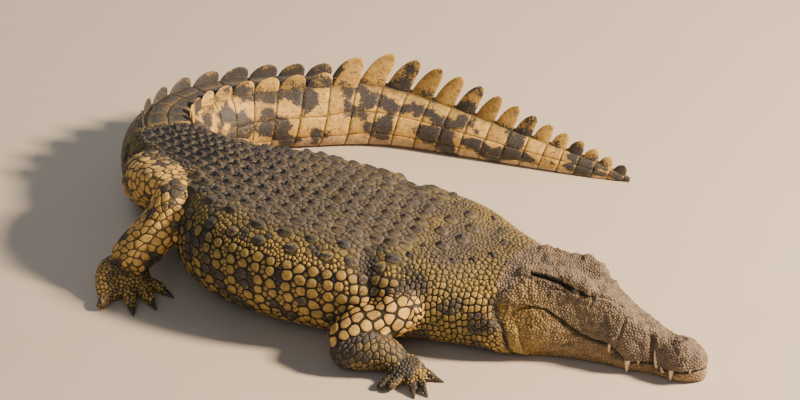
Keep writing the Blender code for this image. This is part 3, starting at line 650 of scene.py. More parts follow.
def onto_skin(points):
    """The nearest places on the skin, with its smooth normals there."""
    where, normals = np.empty((len(points), 3)), np.empty((len(points), 3))
    for i, point in enumerate(points.tolist()):
        spot, _, face, _ = skin_tree.find_nearest(point)
        where[i] = spot
        normals[i] = skin_normals[list(skin_faces[face])].mean(axis=0)
    return where, normals / np.linalg.norm(normals, axis=1, keepdims=True)


ROUND = np.linspace(0.0, math.pi, 121)      # from the top of a section down to its lowest point
GIRTH_STEP = 0.005
girth_stations = np.arange(0.58, LENGTH, GIRTH_STEP)


def half_girths(side):
    """For each station, the distance round the section from its top to each angle of ROUND."""
    rows = []
    for place in girth_stations:
        left, up = section(place, math.pi / 2 - side * ROUND)
        rows.append(np.concatenate([[0], np.cumsum(np.hypot(np.diff(left), np.diff(up)))]))
    return np.array(rows)


GIRTHS = {1: half_girths(1), -1: half_girths(-1)}


def arcs_at(along, side):
    """Distances round this side of the body from its top, for the angles of ROUND."""
    row = round((along - girth_stations[0]) / GIRTH_STEP)
    return GIRTHS[side][min(len(girth_stations) - 1, max(0, row))]


def beside(along, around):
    """A point on the body so many metres round from its top, to the left if positive."""
    side = 1 if around >= 0 else -1
    turn = np.interp(abs(around), arcs_at(along, side), ROUND)
    return on_body(along, *section(along, math.pi / 2 - side * turn))


plates = []


def add_plate(centre, size, long, height, keel=0.0, corners=None, dark=None):
    """Note one scale; dark is left to the markings where it isn't given."""
    plates.append((centre, size, long, height, keel, corners, dark))


# Rings of oblong scutes round the tail, which lean back as they rise, in rows that share one groove.
# The first row starts at the crest; a row of low keeled scutes lies between the crest's two rows.
TAIL_ROWS = (0.0, 0.34, 0.58, 0.79, 1.0)        # edges of the rows, as shares of the way round from the crest
RING_LEAN = 0.34
FIN_HALF = 0.009


def ring_corner(place, share, side):
    """A corner of a ring scute, from its ring's place at the top and its share of the way down."""
    place = place - RING_LEAN * top_at(place) * share ** 1.4
    inner = FIN_HALF + (crest_spread_at(place) if place < SINGLE_CREST_FROM else 0.0)
    return beside(place, side * (inner + share * (arcs_at(place, side)[-1] - inner)))


for ring, (start, end) in enumerate(zip(WHORLS, WHORLS[1:])):
    for side in (1, -1):
        for upper, lower in zip(TAIL_ROWS, TAIL_ROWS[1:]):
            corners = [ring_corner(place, share, side)
                       for place, share in ((start, upper), (start, lower), (end, lower), (end, upper))]
            add_plate(np.mean(corners, axis=0), (end - start) / 2, 1.0, 0.0022, 0.0006, corners)
        if end < SINGLE_CREST_FROM:
            corners = [beside(place, side * inner) for place, inner in (
                (start, 0.001), (start, crest_spread_at(start) - FIN_HALF),
                (end, crest_spread_at(end) - FIN_HALF), (end, 0.001))]
            add_plate(np.mean(corners, axis=0), (end - start) / 2, 1.0, 0.003, 0.006, corners)

# Keeled scutes along the back, larger ones lower down, and then rows of flank scales and belly plates.
BACK_ROWS = (0.024, 0.073, 0.121, 0.168)        # metres round from the midline, where the trunk is widest
SIDE_ROWS = (0.222, 0.278)
GREATEST_HALF_WIDTH = 0.326
BACK_STEP, SIDE_STEP = 0.051, 0.074
place = 0.90
while place < VENT - 0.02:
    spare = float(half_width_at(place)) / GREATEST_HALF_WIDTH
    for side in (1, -1):
        for row, around in enumerate(BACK_ROWS):
            shift = chance.uniform(-0.005, 0.005, 2)
            if spare < 0.62 and row == 3:
                continue
            centre = beside(place + shift[0], side * (around * spare ** 0.7 + shift[1] * 0.6))
            add_plate(centre, 0.0235, 1.12, 0.0018, 0.0175 - 0.002 * row)
    place += BACK_STEP
place = 0.93
while place < VENT - 0.10:
    spare = float(half_width_at(place)) / GREATEST_HALF_WIDTH
    for side in (1, -1):
        for row, around in enumerate(SIDE_ROWS):
            shift = chance.uniform(-0.010, 0.010, 2)
            centre = beside(place + shift[0] + 0.036 * row, side * (around * spare ** 0.7 + shift[1]))
            add_plate(centre, chance.uniform(0.018, 0.023), 1.25, 0.0025, 0.010 - 0.002 * row,
                      dark=chance.uniform(0.7, 1.0))
    place += SIDE_STEP

# Each zone of the flank: its start and end as shares of the way round, the spacing of its rows along and
# round the body, the least and greatest half size, and how much longer than wide a scale is.
FLANK_ZONES = (
    (0.39, 0.60, 0.0330, 0.0325, (0.0132, 0.0165), 1.00),
    (0.60, 0.72, 0.0275, 0.0350, (0.0125, 0.0145), 0.80),
    (0.72, 0.97, 0.0400, 0.0300, (0.0150, 0.0180), 1.20),
)
for first, last, step, down, least_most, long in FLANK_ZONES:
    place = 0.90
    while place < VENT - 0.03:
        for side in (1, -1):
            whole = arcs_at(place, side)[-1]
            around = first * whole
            while around < last * whole:
                shift = chance.uniform(-0.0035, 0.0035, 2)
                add_plate(beside(place + shift[0] - 0.12 * (around - 0.3), side * (around + shift[1])),
                          chance.uniform(*least_most), long, 0.0042, 0.0012)
                around += down
        place += step

# Neck scales in upright rows, with the keeled plates of the nape and dark knobs beside them.
for along, around, size in ((0.762, 0.034, 0.031), (0.828, 0.035, 0.031), (0.797, 0.097, 0.027)):
    for side in (1, -1):
        add_plate(beside(along, side * around), size, 1.1, 0.004, 0.018)
for along, around in ((0.665, 0.040), (0.700, 0.095), (0.745, 0.135), (0.850, 0.130), (0.872, 0.185)):
    for side in (1, -1):
        add_plate(beside(along, side * around), 0.014, 1.3, 0.003, 0.012, dark=1.0)
NECK_STEP = 0.0185
place, band = 0.618, 0
while place < 0.895:
    band += 1
    for side in (1, -1):
        whole = arcs_at(place, side)[-1]
        around = 0.045 + 0.011 * (band % 2) + 0.075 * float(step_up(place, 0.71, 0.76))
        while around < 0.90 * whole:
            shift = chance.uniform(-0.0035, 0.0035, 2)
            low = float(step_up(around / whole, 0.25, 0.50))
            add_plate(beside(place + shift[0] - 0.10 * around, side * (around + shift[1])),
                      chance.uniform(0.0072, 0.0088) + 0.0018 * low, 0.80, 0.0034, 0.0008)
            around += NECK_STEP + 0.004 * low
    place += NECK_STEP

# The small scales between: their size depends on the part of the animal.
BIG_FROM, SMALL_FROM = 0.0085, 0.0062       # half sizes
FILL_SIZE = {"head_upper": 0.0040, "head_lower": 0.0042, "neck": 0.0054, "trunk_front": 0.0055,
             "trunk_rear": 0.0055, "tail_1": 0.007, "tail_2": 0.007, "tail_3": 0.006, "tail_4": 0.005,
             "upper_arm": 0.0165, "forearm": 0.0088, "hand": 0.0050, "thigh": 0.0130, "shank": 0.0110,
             "foot": 0.0056}
FRONT_X = 0.40          # nearly all that lies beyond this is the head
HEAD_WEIGHT = 7.0       # so many more tries on the head, where scales are smallest
TRIES = 300000
skin_mesh.calc_loop_triangles()
triangles = np.array([triangle.vertices[:] for triangle in skin_mesh.loop_triangles])
corner = skin_points[triangles]
area = np.linalg.norm(np.cross(corner[:, 1] - corner[:, 0], corner[:, 2] - corner[:, 0]), axis=1)
middle = corner.mean(axis=1)
on_head = middle[:, 0] > FRONT_X
weight = area * np.where(on_head, HEAD_WEIGHT, 1.0) * (middle[:, 2] > 0.004)
picks = chance.choice(len(triangles), TRIES, p=weight / weight.sum())
mix = chance.random((TRIES, 2))
flip = mix.sum(axis=1) > 1
mix[flip] = 1 - mix[flip]
tries = corner[picks, 0] + mix[:, :1] * (corner[picks, 1] - corner[picks, 0]) \
    + mix[:, 1:] * (corner[picks, 2] - corner[picks, 0])
names = part_of(tries)
at = np.stack(body_places(tries), axis=1) / HEAD
at[:, 1] = np.abs(at[:, 1])
in_slit = (slit_at(at[:, 0], at[:, 2]) < 1.15) & (at[:, 1] > 0.10)
on_lips = (off_line(at, lips)[0] < 0.0028) & (at[:, 0] < MOUTH_CORNER)
try_along = at[:, 0] * HEAD
in_rings = np.char.startswith(names, "tail") & (try_along > VENT + 0.012) & (try_along < WHORLS[-1] - 0.02)
barred = (in_slit | on_lips) & on_head[picks] | in_rings
FLOOR_SPAN = {name: (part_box(name)[0][2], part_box(name)[1][2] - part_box(name)[0][2]) for name in FLESH}
CELL = 0.030
cells = {}


def cell_of(point):
    """The cube of space that a point is in."""
    return tuple(int(math.floor(c / CELL)) for c in point)


for centre, size, _, _, _, corners, _ in plates:
    size *= 1.0 if corners is None else 1.05
    cells.setdefault(cell_of(centre), []).append((*centre, size))
top_here = top_at(try_along)
for number, (point, name, bar) in enumerate(zip(tries.tolist(), names, barred)):
    if bar:
        continue
    kind = kind_of(name)
    size = FILL_SIZE[kind] * random.uniform(0.85, 1.2)
    if kind.startswith("trunk") and point[2] > 0.82 * top_here[number]:
        size *= 1.45        # flat dusty scales between the keels of the back
    if kind == "upper_arm" and point[2] > FLOOR_SPAN[name][0] + 0.88 * FLOOR_SPAN[name][1]:
        size *= 0.45        # small wrinkled scales over the shoulder, broad plates below
    # On the flanks small scales stay in the corners between the large ones.
    apart = 1.12 if kind.startswith("trunk") and point[2] < 0.80 * top_here[number] else 0.90
    a, b, c = cell_of(point)
    clear = True
    for cell in ((a + i, b + j, c + k) for i in (-1, 0, 1) for j in (-1, 0, 1) for k in (-1, 0, 1)):
        for x, y, z, other in cells.get(cell, ()):
            room = (size + other) * (0.80 if other < BIG_FROM else apart)
            if (point[0] - x) ** 2 + (point[1] - y) ** 2 + (point[2] - z) ** 2 < room * room:
                clear = False
                break
        if not clear:
            break
    if clear:
        cells.setdefault((a, b, c), []).append((*point, size))
        long = {"forearm": 1.30, "shank": 0.80}.get(kind, 1.0)
        add_plate(point, size, long, 0.10 * size + (0.0009 if kind.startswith("head") else 0.0012))

# ---------- scales
# Each seed grows a domed plate of horny hide that meets its neighbours in a groove, keeled where its
# seed says so, with its rim sunk in the skin.  The plates are joined region by region.

# Each make of plate: its number of sides, and its rings as shares of its radius and of its height.
PANEL = (32, ((1.0, -0.9), (0.99, 0.30), (0.95, 0.85), (0.72, 0.97), (0.38, 1.0)))
BIG = (16, ((1.0, -0.9), (0.985, 0.25), (0.90, 0.72), (0.70, 0.96), (0.38, 1.0)))
SMALL = (10, ((1.0, -0.9), (0.96, 0.35), (0.66, 0.92)))
TINY = (8, ((1.0, -0.9), (0.78, 0.75)))
SKIRT = 0.0030          # how deep the rim goes into the skin
PATCH = 0.0015          # half the size of a scale's patch on the bake map
NEIGHBOURS = 14
centres, sizes, stretch, heights, keels, corner_sets, darks = zip(*plates)
centres, normals = onto_skin(np.array(centres, float))
sizes, stretch, heights, keels = np.array(sizes), np.array(stretch), np.array(heights), np.array(keels)
ringed = np.array([corners is not None for corners in corner_sets])
names = [name if corners is None or name.startswith("tail") else "tail_1"
         for name, corners in zip(part_of(centres), corner_sets)]
kinds = np.array([kind_of(name) for name in names])
along, left, up = body_places(centres)

angle = np.interp(along, ALONG, SPINE_ANGLE)
lie = np.stack([np.cos(angle), np.sin(angle), np.zeros(len(angle))], axis=1)
for i, name in enumerate(names):
    if kinds[i] in PARENT:
        lie[i] = centres[i] - np.array(middle_before(name))
lie -= normals * (lie * normals).sum(axis=1, keepdims=True)
lie /= np.linalg.norm(lie, axis=1, keepdims=True)
over = np.cross(normals, lie)

seeds = kdtree.KDTree(len(centres))
for i, centre in enumerate(centres.tolist()):
    seeds.insert(centre, i)
seeds.balance()
near = np.zeros((len(centres), NEIGHBOURS), int)
for i, centre in enumerate(centres.tolist()):
    near[i] = [j for _, j, _ in seeds.find_n(centre, NEIGHBOURS + 1) if j != i][:NEIGHBOURS]
gap = centres[near] - centres[:, None, :]
x = (gap * lie[:, None, :]).sum(axis=2) / stretch[:, None]
y = (gap * over[:, None, :]).sum(axis=2) * stretch[:, None]
distance = np.hypot(x, y) + 1e-6
toward = np.arctan2(y, x)
share = np.clip(0.5 + (sizes[:, None] ** 2 - sizes[near] ** 2) / (2 * distance ** 2), 0.25, 0.75)
room = distance * share
groove = np.where(sizes > 0.009, 0.0010, np.where(sizes > 0.006, 0.0006, 0.0003))
room = np.maximum(room - groove[:, None], 0.0008)

# Scales beside the mouth stop short of its line.
LIP_GAP = 0.0032
LIP_POINTS = 900
lip_tree = kdtree.KDTree(2 * LIP_POINTS)
for place in np.linspace(0.0, MOUTH_CORNER, LIP_POINTS):
    for side in (1, -1):
        point = on_body(place * HEAD, side * lip_width_at(place) * HEAD, lip_height_at(place) * HEAD)
        lip_tree.insert(point, 0)
lip_tree.balance()
for i in np.nonzero(np.char.startswith(kinds, "head"))[0]:
    spot, _, far = lip_tree.find(centres[i])
    if far < 0.012:
        way = np.array(spot) - centres[i]
        way = np.array([way @ lie[i], way @ over[i]])
        toward[i, -1] = math.atan2(way[1], way[0])
        room[i, -1] = max(np.linalg.norm(way) - LIP_GAP, 0.0006)

SHARPNESS, RING_SHARPNESS = 11.0, 22.0      # of the outline's corners
RING_GROOVE, ROW_GROOVE = 0.0011, 0.0003


def outlines(chosen, sides):
    """The outline radius of each chosen plate in each direction, and that direction's cosine and sine."""
    turn = np.arange(sides) * math.tau / sides
    facing = np.maximum(np.cos(turn - toward[chosen][:, :, None]), 0)
    sharp = np.where(ringed[chosen], RING_SHARPNESS, SHARPNESS)[:, None]
    radius = ((facing / room[chosen][:, :, None]) ** sharp[:, :, None]).sum(axis=1) ** (-1 / sharp)
    growing = np.isin(kinds[chosen], list(PARENT)) | (keels[chosen] < 0.002)
    most = np.where(growing, 1.7, 1.3) * sizes[chosen]
    radius = np.minimum(radius, most[:, None])
    return radius, np.cos(turn), np.sin(turn)


# A ring scute's outline comes from its corners instead.
for i in np.nonzero(ringed)[0]:
    flat = np.array(corner_sets[i]) - centres[i]
    px, py = flat @ lie[i], flat @ over[i]
    toward[i], room[i] = 0.0, 10.0
    for k in range(4):
        ex, ey = px[(k + 1) % 4] - px[k], py[(k + 1) % 4] - py[k]
        length = math.hypot(ex, ey)
        nx, ny = ey / length, -ex / length
        reach = px[k] * nx + py[k] * ny
        if reach < 0:
            nx, ny, reach = -nx, -ny, -reach
        toward[i, k] = math.atan2(ny, nx)
        room[i, k] = max(reach - (RING_GROOVE if k in (0, 2) else ROW_GROOVE), 0.001)
    stretch[i] = 1.0
    sizes[i] = 0.06


def lay_plates(name, chosen, sides, rings):
    """One piece of the chosen plates, and each point's seed, rim share, crown and place in its patch."""
    radius, cos, sin = outlines(chosen, sides)
    count = len(chosen)
    flat = radius[:, :, None] * (cos[None, :, None] * (lie[chosen] * stretch[chosen][:, None])[:, None, :]
                                 + sin[None, :, None] * (over[chosen] / stretch[chosen][:, None])[:, None, :])
    edge, edge_normal = onto_skin((centres[chosen][:, None, :] + flat).reshape(-1, 3))
    offset = edge.reshape(count, sides, 3) - centres[chosen][:, None, :]
    middle_normal = normals[chosen][:, None, :]
    drop = (offset * middle_normal).sum(axis=2, keepdims=True)
    flat = offset - drop * middle_normal
    edge_normal = edge_normal.reshape(count, sides, 3)
    layers, rims, ridges = [], [], []
    for share, rise in rings:
        bend = middle_normal * (1 - share ** 2) + edge_normal * share ** 2
        bend /= np.linalg.norm(bend, axis=2, keepdims=True)
        lift = rise * heights[chosen][:, None] if rise > 0 else np.full((count, sides), -SKIRT)
        ridge = np.zeros((count, sides))
        if rise > 0:
            ridge = np.tile(np.clip(1 - np.abs(sin) * share * 2.6, 0, 1) * (1 - share ** 2.5), (count, 1))
            slant = 0.70 + 0.30 * cos * share
            lift = lift + keels[chosen][:, None] * ridge * slant[None, :]
        ridges.append(ridge)
        layers.append(centres[chosen][:, None, :] + flat * share + drop * share ** 2 * middle_normal
                      + bend * lift[:, :, None])
        rims.append(np.full((count, sides), share))
    peak = centres[chosen] + normals[chosen] * (heights[chosen] + keels[chosen] * 0.75)[:, None]
    points = np.concatenate([np.concatenate(layers, axis=1), peak[:, None, :]], axis=1)
    rim = np.concatenate([np.concatenate(rims, axis=1), np.zeros((count, 1))], axis=1)
    crown = np.concatenate([np.concatenate(ridges, axis=1), np.ones((count, 1))], axis=1)
    rim = np.where(ringed[chosen][:, None], rim * (0.90 + 0.10 * np.abs(np.tile(
        np.append(np.tile(cos, len(rings)), 1.0), (count, 1)))), rim)
    each = points.shape[1]
    last = (len(rings) - 1) * sides
    pattern = np.array(tube_faces(0, len(rings), sides)[:-2])
    caps = np.array([(last + k, last + (k + 1) % sides, each - 1) for k in range(sides)])
    base = (np.arange(count) * each)[:, None, None]
    quads, tops = (pattern + base).reshape(-1, 4), (caps + base).reshape(-1, 3)
    points = points.reshape(-1, 3)
    points[:, 2] = np.maximum(points[:, 2], 0.0)
    piece = mesh_object(name, points, quads.tolist() + tops.tolist())
    piece.data.validate()
    seed = np.repeat(chosen, each)
    turn = np.concatenate([np.tile(np.stack([cos, sin], axis=1), (len(rings), 1)), [[0, 0]]])
    spread = np.tile(turn, (count, 1)) * rim.reshape(-1, 1) * PATCH
    return piece, seed, rim.ravel(), crown.ravel(), spread


# ---------- markings and hide
# Dusty grey-brown on the back, olive yellow down the flanks, cream and pink below, with dark scutes in
# rows and patches.  Skin and scales take their tones from one function of place.


def tones(points, names):
    """How warm, creamy, pink and dark the hide is, how dark its grooves are, and how much painted shade lies
    in its folds, slits and openings.
    """
    kinds = np.array([kind_of(name) for name in names])
    along, left, up = body_places(points)
    height = up / top_at(along)
    spot = np.stack([along, np.abs(left), up], axis=1) / HEAD
    u, z = spot[:, 0], spot[:, 2]
    tail, head = np.char.startswith(kinds, "tail"), np.char.startswith(kinds, "head")
    neck, lower, legs = kinds == "neck", kinds == "head_lower", np.isin(kinds, list(PARENT))
    blotch, speck = noise_at(points, 15), noise_at(points, 36)

    # trunk: dusty above, yellow-brown down the flank, with a painted patch of sunlight before the elbow, dark
    # in patches
    flank = step_up(height, 0.98, 0.74)
    warm = 0.12 + 0.83 * flank
    # painted sunlight: a paler, less patchy pool on the upper flank before the elbow
    sunny = bell(along, 1.12, 0.20) * step_up(height, 0.90, 0.74)
    cream = np.maximum(0.40 * sunny, 0.45 * step_up(height, 0.20, 0.04))
    rear = step_up(along, 1.20, 1.50)
    dark = step_up(blotch + 0.16 * rear - 0.12 * sunny, 0.16, 0.40) * (0.20 + 0.60 * flank)
    line = 0.40 + 0.60 * flank
    # the fold behind the shoulder: its own dark scales, deepened with painted shade
    fold = off_line(spot, BODY_FOLDS[0][2])[0]
    dark = np.maximum(dark, 0.90 * bell(fold, 0, 0.035))

    # neck: beige yellow scales in dark grooves, palest just behind the fold at the jaw
    behind = (u - fold_at(z)) * HEAD
    beside_jaw = bell(behind, 0.035, 0.035) * step_up(z, 0.50, 0.36)
    nape = bell(along, 0.80, 0.065) * step_up(height, 0.84, 0.93)
    neckness = step_up(along, 0.95, 0.84) * (1 - nape)
    warm += neckness * (0.50 + 0.32 * flank - warm)
    cream += neckness * (0.36 * beside_jaw - cream)
    dark += neckness * (0.20 + 0.55 * step_up(blotch, 0.0, 0.28) - dark)
    dark = np.maximum(dark, 0.35 * nape)
    line = np.maximum(line, 0.85 * neckness)

    # tail: cream sides with soft dark patches, pink below; its right side near the root, turned from the key
    # light, is painted dark as shade
    lit_side = np.maximum(step_up(left / half_width_at(along), -0.2, 0.2), step_up(along, 2.3, 2.6))
    patchy = 0.17 + blotch + 0.40 * speck + 0.10 * bell(height, 0.78, 0.13)
    patchy += (0.08 + 0.45 * step_up(along, 2.75, 3.05)) * bell(height, 0.44, 0.16)
    patchy -= 0.10 + 0.35 * step_up(height, 0.26, 0.14)
    patchy -= 0.25 * bell(height, 0.66, 0.05) * step_up(along, 2.6, 2.9)
    warm = np.where(tail, step_up(height, 1.06, 0.88), warm)
    cream = np.where(tail, 0.9 * lit_side * step_up(height, 1.02, 0.86), cream)
    pink = np.where(tail, 0.8 * step_up(height, 0.30, 0.14) * step_up(along, 2.2, 2.6), 0.0)
    dark = np.where(tail, 0.60 * (1 - lit_side) + lit_side * (0.17 + 0.72 * step_up(patchy, -0.12, 0.24)), dark)
    line = np.where(tail, 0.68, line)

    # head: grey, pinkish and dusty above, olive at the cheek and behind the eye, grey-beige jaw, pink chin
    cheek = step_up(u, 0.52, 0.62) * step_up(z, 0.42, 0.34)
    behind_ear = bell(u, 0.93, 0.085) * bell(z, 0.385, 0.075)
    warm = np.where(head, 0.16 + 0.26 * cheek + 0.80 * behind_ear, warm)
    warm = np.where(lower, 0.26 + 0.42 * step_up(u, 0.78, 0.95) + 0.12 * step_up(z, 0.08, 0.02), warm)
    cream = np.where(head, 0.20 * behind_ear + 0.34 * lower, cream)
    pink = np.where(head, np.where(lower, 0.30 * step_up(u, 0.92, 0.70), 0.42 - 0.12 * cheek), pink)
    pink = np.where(head, np.maximum(pink, 0.8 * step_up(u, 0.10, 0.02) * step_up(z, 0.16, 0.08)), pink)
    ear = off_line(spot, FOLDS["ear"][2])[0]
    mouth = off_line(spot[:, ::2], [(a, c) for a, b, c in lips])[0]      # seen from the side
    pocket = np.linalg.norm(spot - np.array((0.462, 0.122, 0.085)), axis=1) * HEAD
    # shade: the head's own blotches and specks, with painted shade added in the ear slit, the mouth pocket
    # and under the neck fold
    shade = 0.30 * step_up(blotch, 0.1, 0.5) + 0.36 * step_up(speck, 0.05, 0.35)
    shade += 0.9 * bell(ear, 0, 0.006)
    gape = step_up(u, 0.38, 0.47) * step_up(u, 0.84, 0.74)
    parted = bell(mouth, 0, 0.0030 + 0.0034 * gape) * step_up(u, -0.03, 0.0) * step_up(u, 0.96, 0.86)
    notch = off_line(spot, FOLDS["notch"][2])[0]
    nostril = off_line(spot, FOLDS["nostril"][2])[0]
    slit = np.where(spot[:, 1] > 0.08, slit_at(u, z), 9.0)
    warm += 0.45 * head * bell(slit, 1.9, 0.6) * (np.abs(u - SLIT_MIDDLE[0]) < 0.085)
    # deep: painted shade, nearly black, in and round the eye slit, along the mouth line, in the ear slit, the
    # notch, the nostrils and the mouth pocket
    deep = head * np.maximum.reduce([
        0.9 * step_up(slit, 1.55, 1.15), 0.95 * parted, 0.85 * bell(ear, 0, 0.010),
        0.5 * bell(notch, 0, 0.009), 0.8 * bell(nostril, 0, 0.0055), 0.45 * bell(pocket, 0, 0.016)])
    # painted shadow under the fold of the neck where it overhangs the jaw
    collar_shadow = 0.90 * bell(behind, 0, 0.0065) * step_up(z, 0.46, 0.38)
    deep = np.maximum(deep, collar_shadow * (head | neck))
    # painted shade in the fold behind the shoulder
    deep = np.maximum(deep, 0.50 * bell(fold, 0, 0.022))
    shade = np.maximum(shade, 0.65 * bell(pocket, 0, 0.016))
    shade = np.maximum(shade, 0.75 * bell(behind, 0, 0.009) * step_up(z, 0.44, 0.36))
    dark = np.where(head | neck, np.maximum(shade, np.where(neck, dark, 0.0)), dark)
    line = np.where(head, 0.60, line)

    # legs: cream plates low on the upper arm, dusky forearm and feet, dark patches on thigh and shank
    floor_span = np.array([FLOOR_SPAN[name] for name in names])
    low = (up - floor_span[:, 0]) / floor_span[:, 1]
    plain = step_up(low, 0.92, 0.80)
    warm = np.where(legs, 1.0, warm)
    for kind, creamy, darkness, grooves in (
        ("upper_arm", 0.15 + 0.80 * plain, 0.60 * (1 - plain) * step_up(blotch, -0.15, 0.15) + 0.12, 1.0),
        ("forearm", 0.05, 0.56 + 0.44 * step_up(blotch + 0.4 * speck, -0.08, 0.18), 1.0),
        ("hand", 0.20, 0.28 + 0.60 * step_up(blotch + 0.5 * speck, -0.12, 0.10), 1.0),
        ("thigh", 0.95, 0.80 * step_up(blotch + 0.4 * speck, 0.14, 0.30), 0.85),
        ("shank", 0.95, 0.85 * step_up(blotch + 0.4 * speck, 0.10, 0.26), 0.85),
        ("foot", 0.65, 0.06 + 0.55 * step_up(blotch + 0.5 * speck, -0.02, 0.20), 0.9),
    ):
        cream = np.where(kinds == kind, creamy, cream)
        dark = np.where(kinds == kind, darkness, dark)
        line = np.where(kinds == kind, grooves, line)
    return {"warm": warm, "cream": cream, "pink": pink, "dark": np.clip(dark, 0, 1),
            "line": line, "deep": deep}


def give(mesh, name, values):
    """Store a number for each point of a mesh, or one number for all, for its material to read."""
    values = np.asarray(values, np.float32) * np.ones(len(mesh.vertices), np.float32)
    mesh.attributes.new(name, "FLOAT", "POINT").data.foreach_set("value", values)


names = np.array(names)
tone = tones(centres, names)
given = np.array(darks, float)
on_trunk = np.char.startswith(kinds, "trunk")
scattered = (chance.random(len(sizes)) < 0.07) & (sizes > BIG_FROM) & on_trunk
dark = np.where(scattered, 0.9, tone["dark"])
dark = dark + 0.22 * ((sizes < BIG_FROM) & on_trunk)        # dull beads between
tone["dark"] = np.where(np.isnan(given), dark, given)
tone["lot"] = chance.random(len(sizes))

hide, place = new_material("crocodile_hide")    # horny scales over dusty, dry skin
sockets = {name: add_node(hide, "ShaderNodeAttribute", {"attribute_name": name}).outputs["Fac"]
           for name in ("warm", "cream", "pink", "dark", "line", "deep", "rim", "lot")}
for name, scale, detail, roughness in (("broad", 7.0, 2.0, 0.5), ("mottle", 55.0, 5.0, 0.65),
                                       ("fine", 420.0, 3.0, 0.5), ("pepper", 170.0, 2.0, 0.5)):
    texture = add_node(hide, "ShaderNodeTexNoise", {"Scale": scale, "Detail": detail,
                                                    "Roughness": roughness, "Vector": place})
    sockets[name] = texture.outputs["Fac"]

# Sums of patterns, each of them times its weight.
square = add_node(hide, "ShaderNodeMath", {"operation": "MULTIPLY", 0: sockets["rim"], 1: sockets["rim"]})
sockets["rim_square"] = square.outputs[0]
for name, terms in (
    ("warmth", (("warm", 1.0), ("broad", 0.9))),
    ("patch", (("dark", 1.6), ("rim_square", -0.45), ("mottle", 1.8), ("pepper", 1.6))),
    ("wide_line", (("rim", 1.0), ("line", 0.20))),
):
    total = 0.0
    for source, weight in terms:
        total = add_node(hide, "ShaderNodeMath", {"operation": "MULTIPLY_ADD", 0: sockets[source],
                                                  1: weight, 2: total}).outputs[0]
    sockets[name] = total

# Colours laid one over another: the result, the pattern that it follows and from where to where, its
# greatest strength, and the colours at low and at high values.
EVEN, SMOOTH = "LINEAR", "SMOOTHSTEP"
for name, source, rise, low, high, most, at_low, at_high in (
    ("back", "mottle", SMOOTH, 0.30, 0.70, 1.0, "#39332c", "#61574a"),
    ("flank", "mottle", SMOOTH, 0.33, 0.68, 1.0, "#574b27", "#9c8641"),
    ("flank", "lot", EVEN, 0.0, 1.0, 0.45, "flank", "#bda24d"),
    ("creamy", "mottle", SMOOTH, 0.30, 0.62, 1.0, "#b88f42", "#f0c168"),
    ("pinkish", "mottle", SMOOTH, 0.30, 0.70, 1.0, "#8e7c6a", "#bfa48a"),
    ("blackish", "fine", SMOOTH, 0.30, 0.70, 1.0, "#201f20", "#4f4c4d"),
    ("colour", "warmth", SMOOTH, 0.60, 1.30, 1.0, "back", "flank"),
    ("colour", "cream", EVEN, 0.0, 1.0, 1.0, "colour", "creamy"),
    ("colour", "pink", EVEN, 0.0, 1.0, 1.0, "colour", "pinkish"),
    ("colour", "patch", SMOOTH, 2.10, 2.75, 1.0, "colour", "blackish"),
    ("colour", "pepper", SMOOTH, 0.56, 0.68, 0.50, "colour", "#54493c"),        # dark specks
    ("colour", "lot", SMOOTH, 0.50, 1.0, 0.34, "colour", "#3d3325"),
    ("colour", "wide_line", SMOOTH, 1.03, 1.15, "line", "colour", "#2b2216"),   # grooves
    ("colour", "fine", SMOOTH, 0.45, 0.75, 0.11, "colour", "#b7a88c"),          # dust
    # painted shade, nearly black, in folds, slits and openings
    ("colour", "deep", EVEN, 0.0, 1.0, 1.0, "colour", "#14100a"),
):
    share = add_node(hide, "ShaderNodeMapRange", {
        "interpolation_type": rise, "Value": sockets[source], "From Min": low, "From Max": high,
        "To Max": sockets.get(most, most)})
    mixed = add_node(hide, "ShaderNodeMix", {
        "data_type": "RGBA", 0: share.outputs["Result"],
        6: sockets.get(at_low, at_low), 7: sockets.get(at_high, at_high)})
    sockets[name] = mixed.outputs[2]
relief = add_node(hide, "ShaderNodeBump", {"Strength": 0.35, "Distance": 0.0012, "Height": sockets["fine"]})
relief = add_node(hide, "ShaderNodeBump", {"Strength": 0.30, "Distance": 0.004,
                                           "Height": sockets["mottle"], "Normal": relief.outputs[0]})
dullness = add_node(hide, "ShaderNodeMapRange", {"To Min": 0.45, "To Max": 0.75, "Value": sockets["mottle"]})
surface = add_node(hide, "ShaderNodeBsdfPrincipled", {
    "Specular IOR Level": 0.4, "Base Color": sockets["colour"],
    "Roughness": dullness.outputs[0], "Normal": relief.outputs[0]})
add_node(hide, "ShaderNodeOutputMaterial", {"Surface": surface.outputs[0]})


def unwrapped(places, names, along_from, along_to, limbs):
    """Each place on an unwrap of the skin: along by girth for the body, one column for each limb part."""
    along, left, up = body_places(places)
    flat = np.stack([(along - along_from) / (along_to - along_from),
                     np.arctan2(left, up - top_at(along) / 2) / math.tau + 0.5], axis=1)
    for column, name in enumerate(limbs):
        axis = np.array(NODE_MIDDLE[name] - middle_before(name))
        length = np.linalg.norm(axis)
        axis /= length
        across = np.cross(axis, (0.0, 0.0, 1.0))
        across /= np.linalg.norm(across)
        mine = names == name
        ray = places[mine] - np.array(NODE_MIDDLE[name])
        share = np.clip(0.5 + 0.5 * (ray @ axis) / length, 0.02, 0.98)
        turn = np.arctan2(ray @ np.cross(axis, across), ray @ across) / math.tau + 0.5
        flat[mine] = np.stack([(column + share) / len(limbs), turn], axis=1)
    return np.clip(flat, 0.003, 0.997)


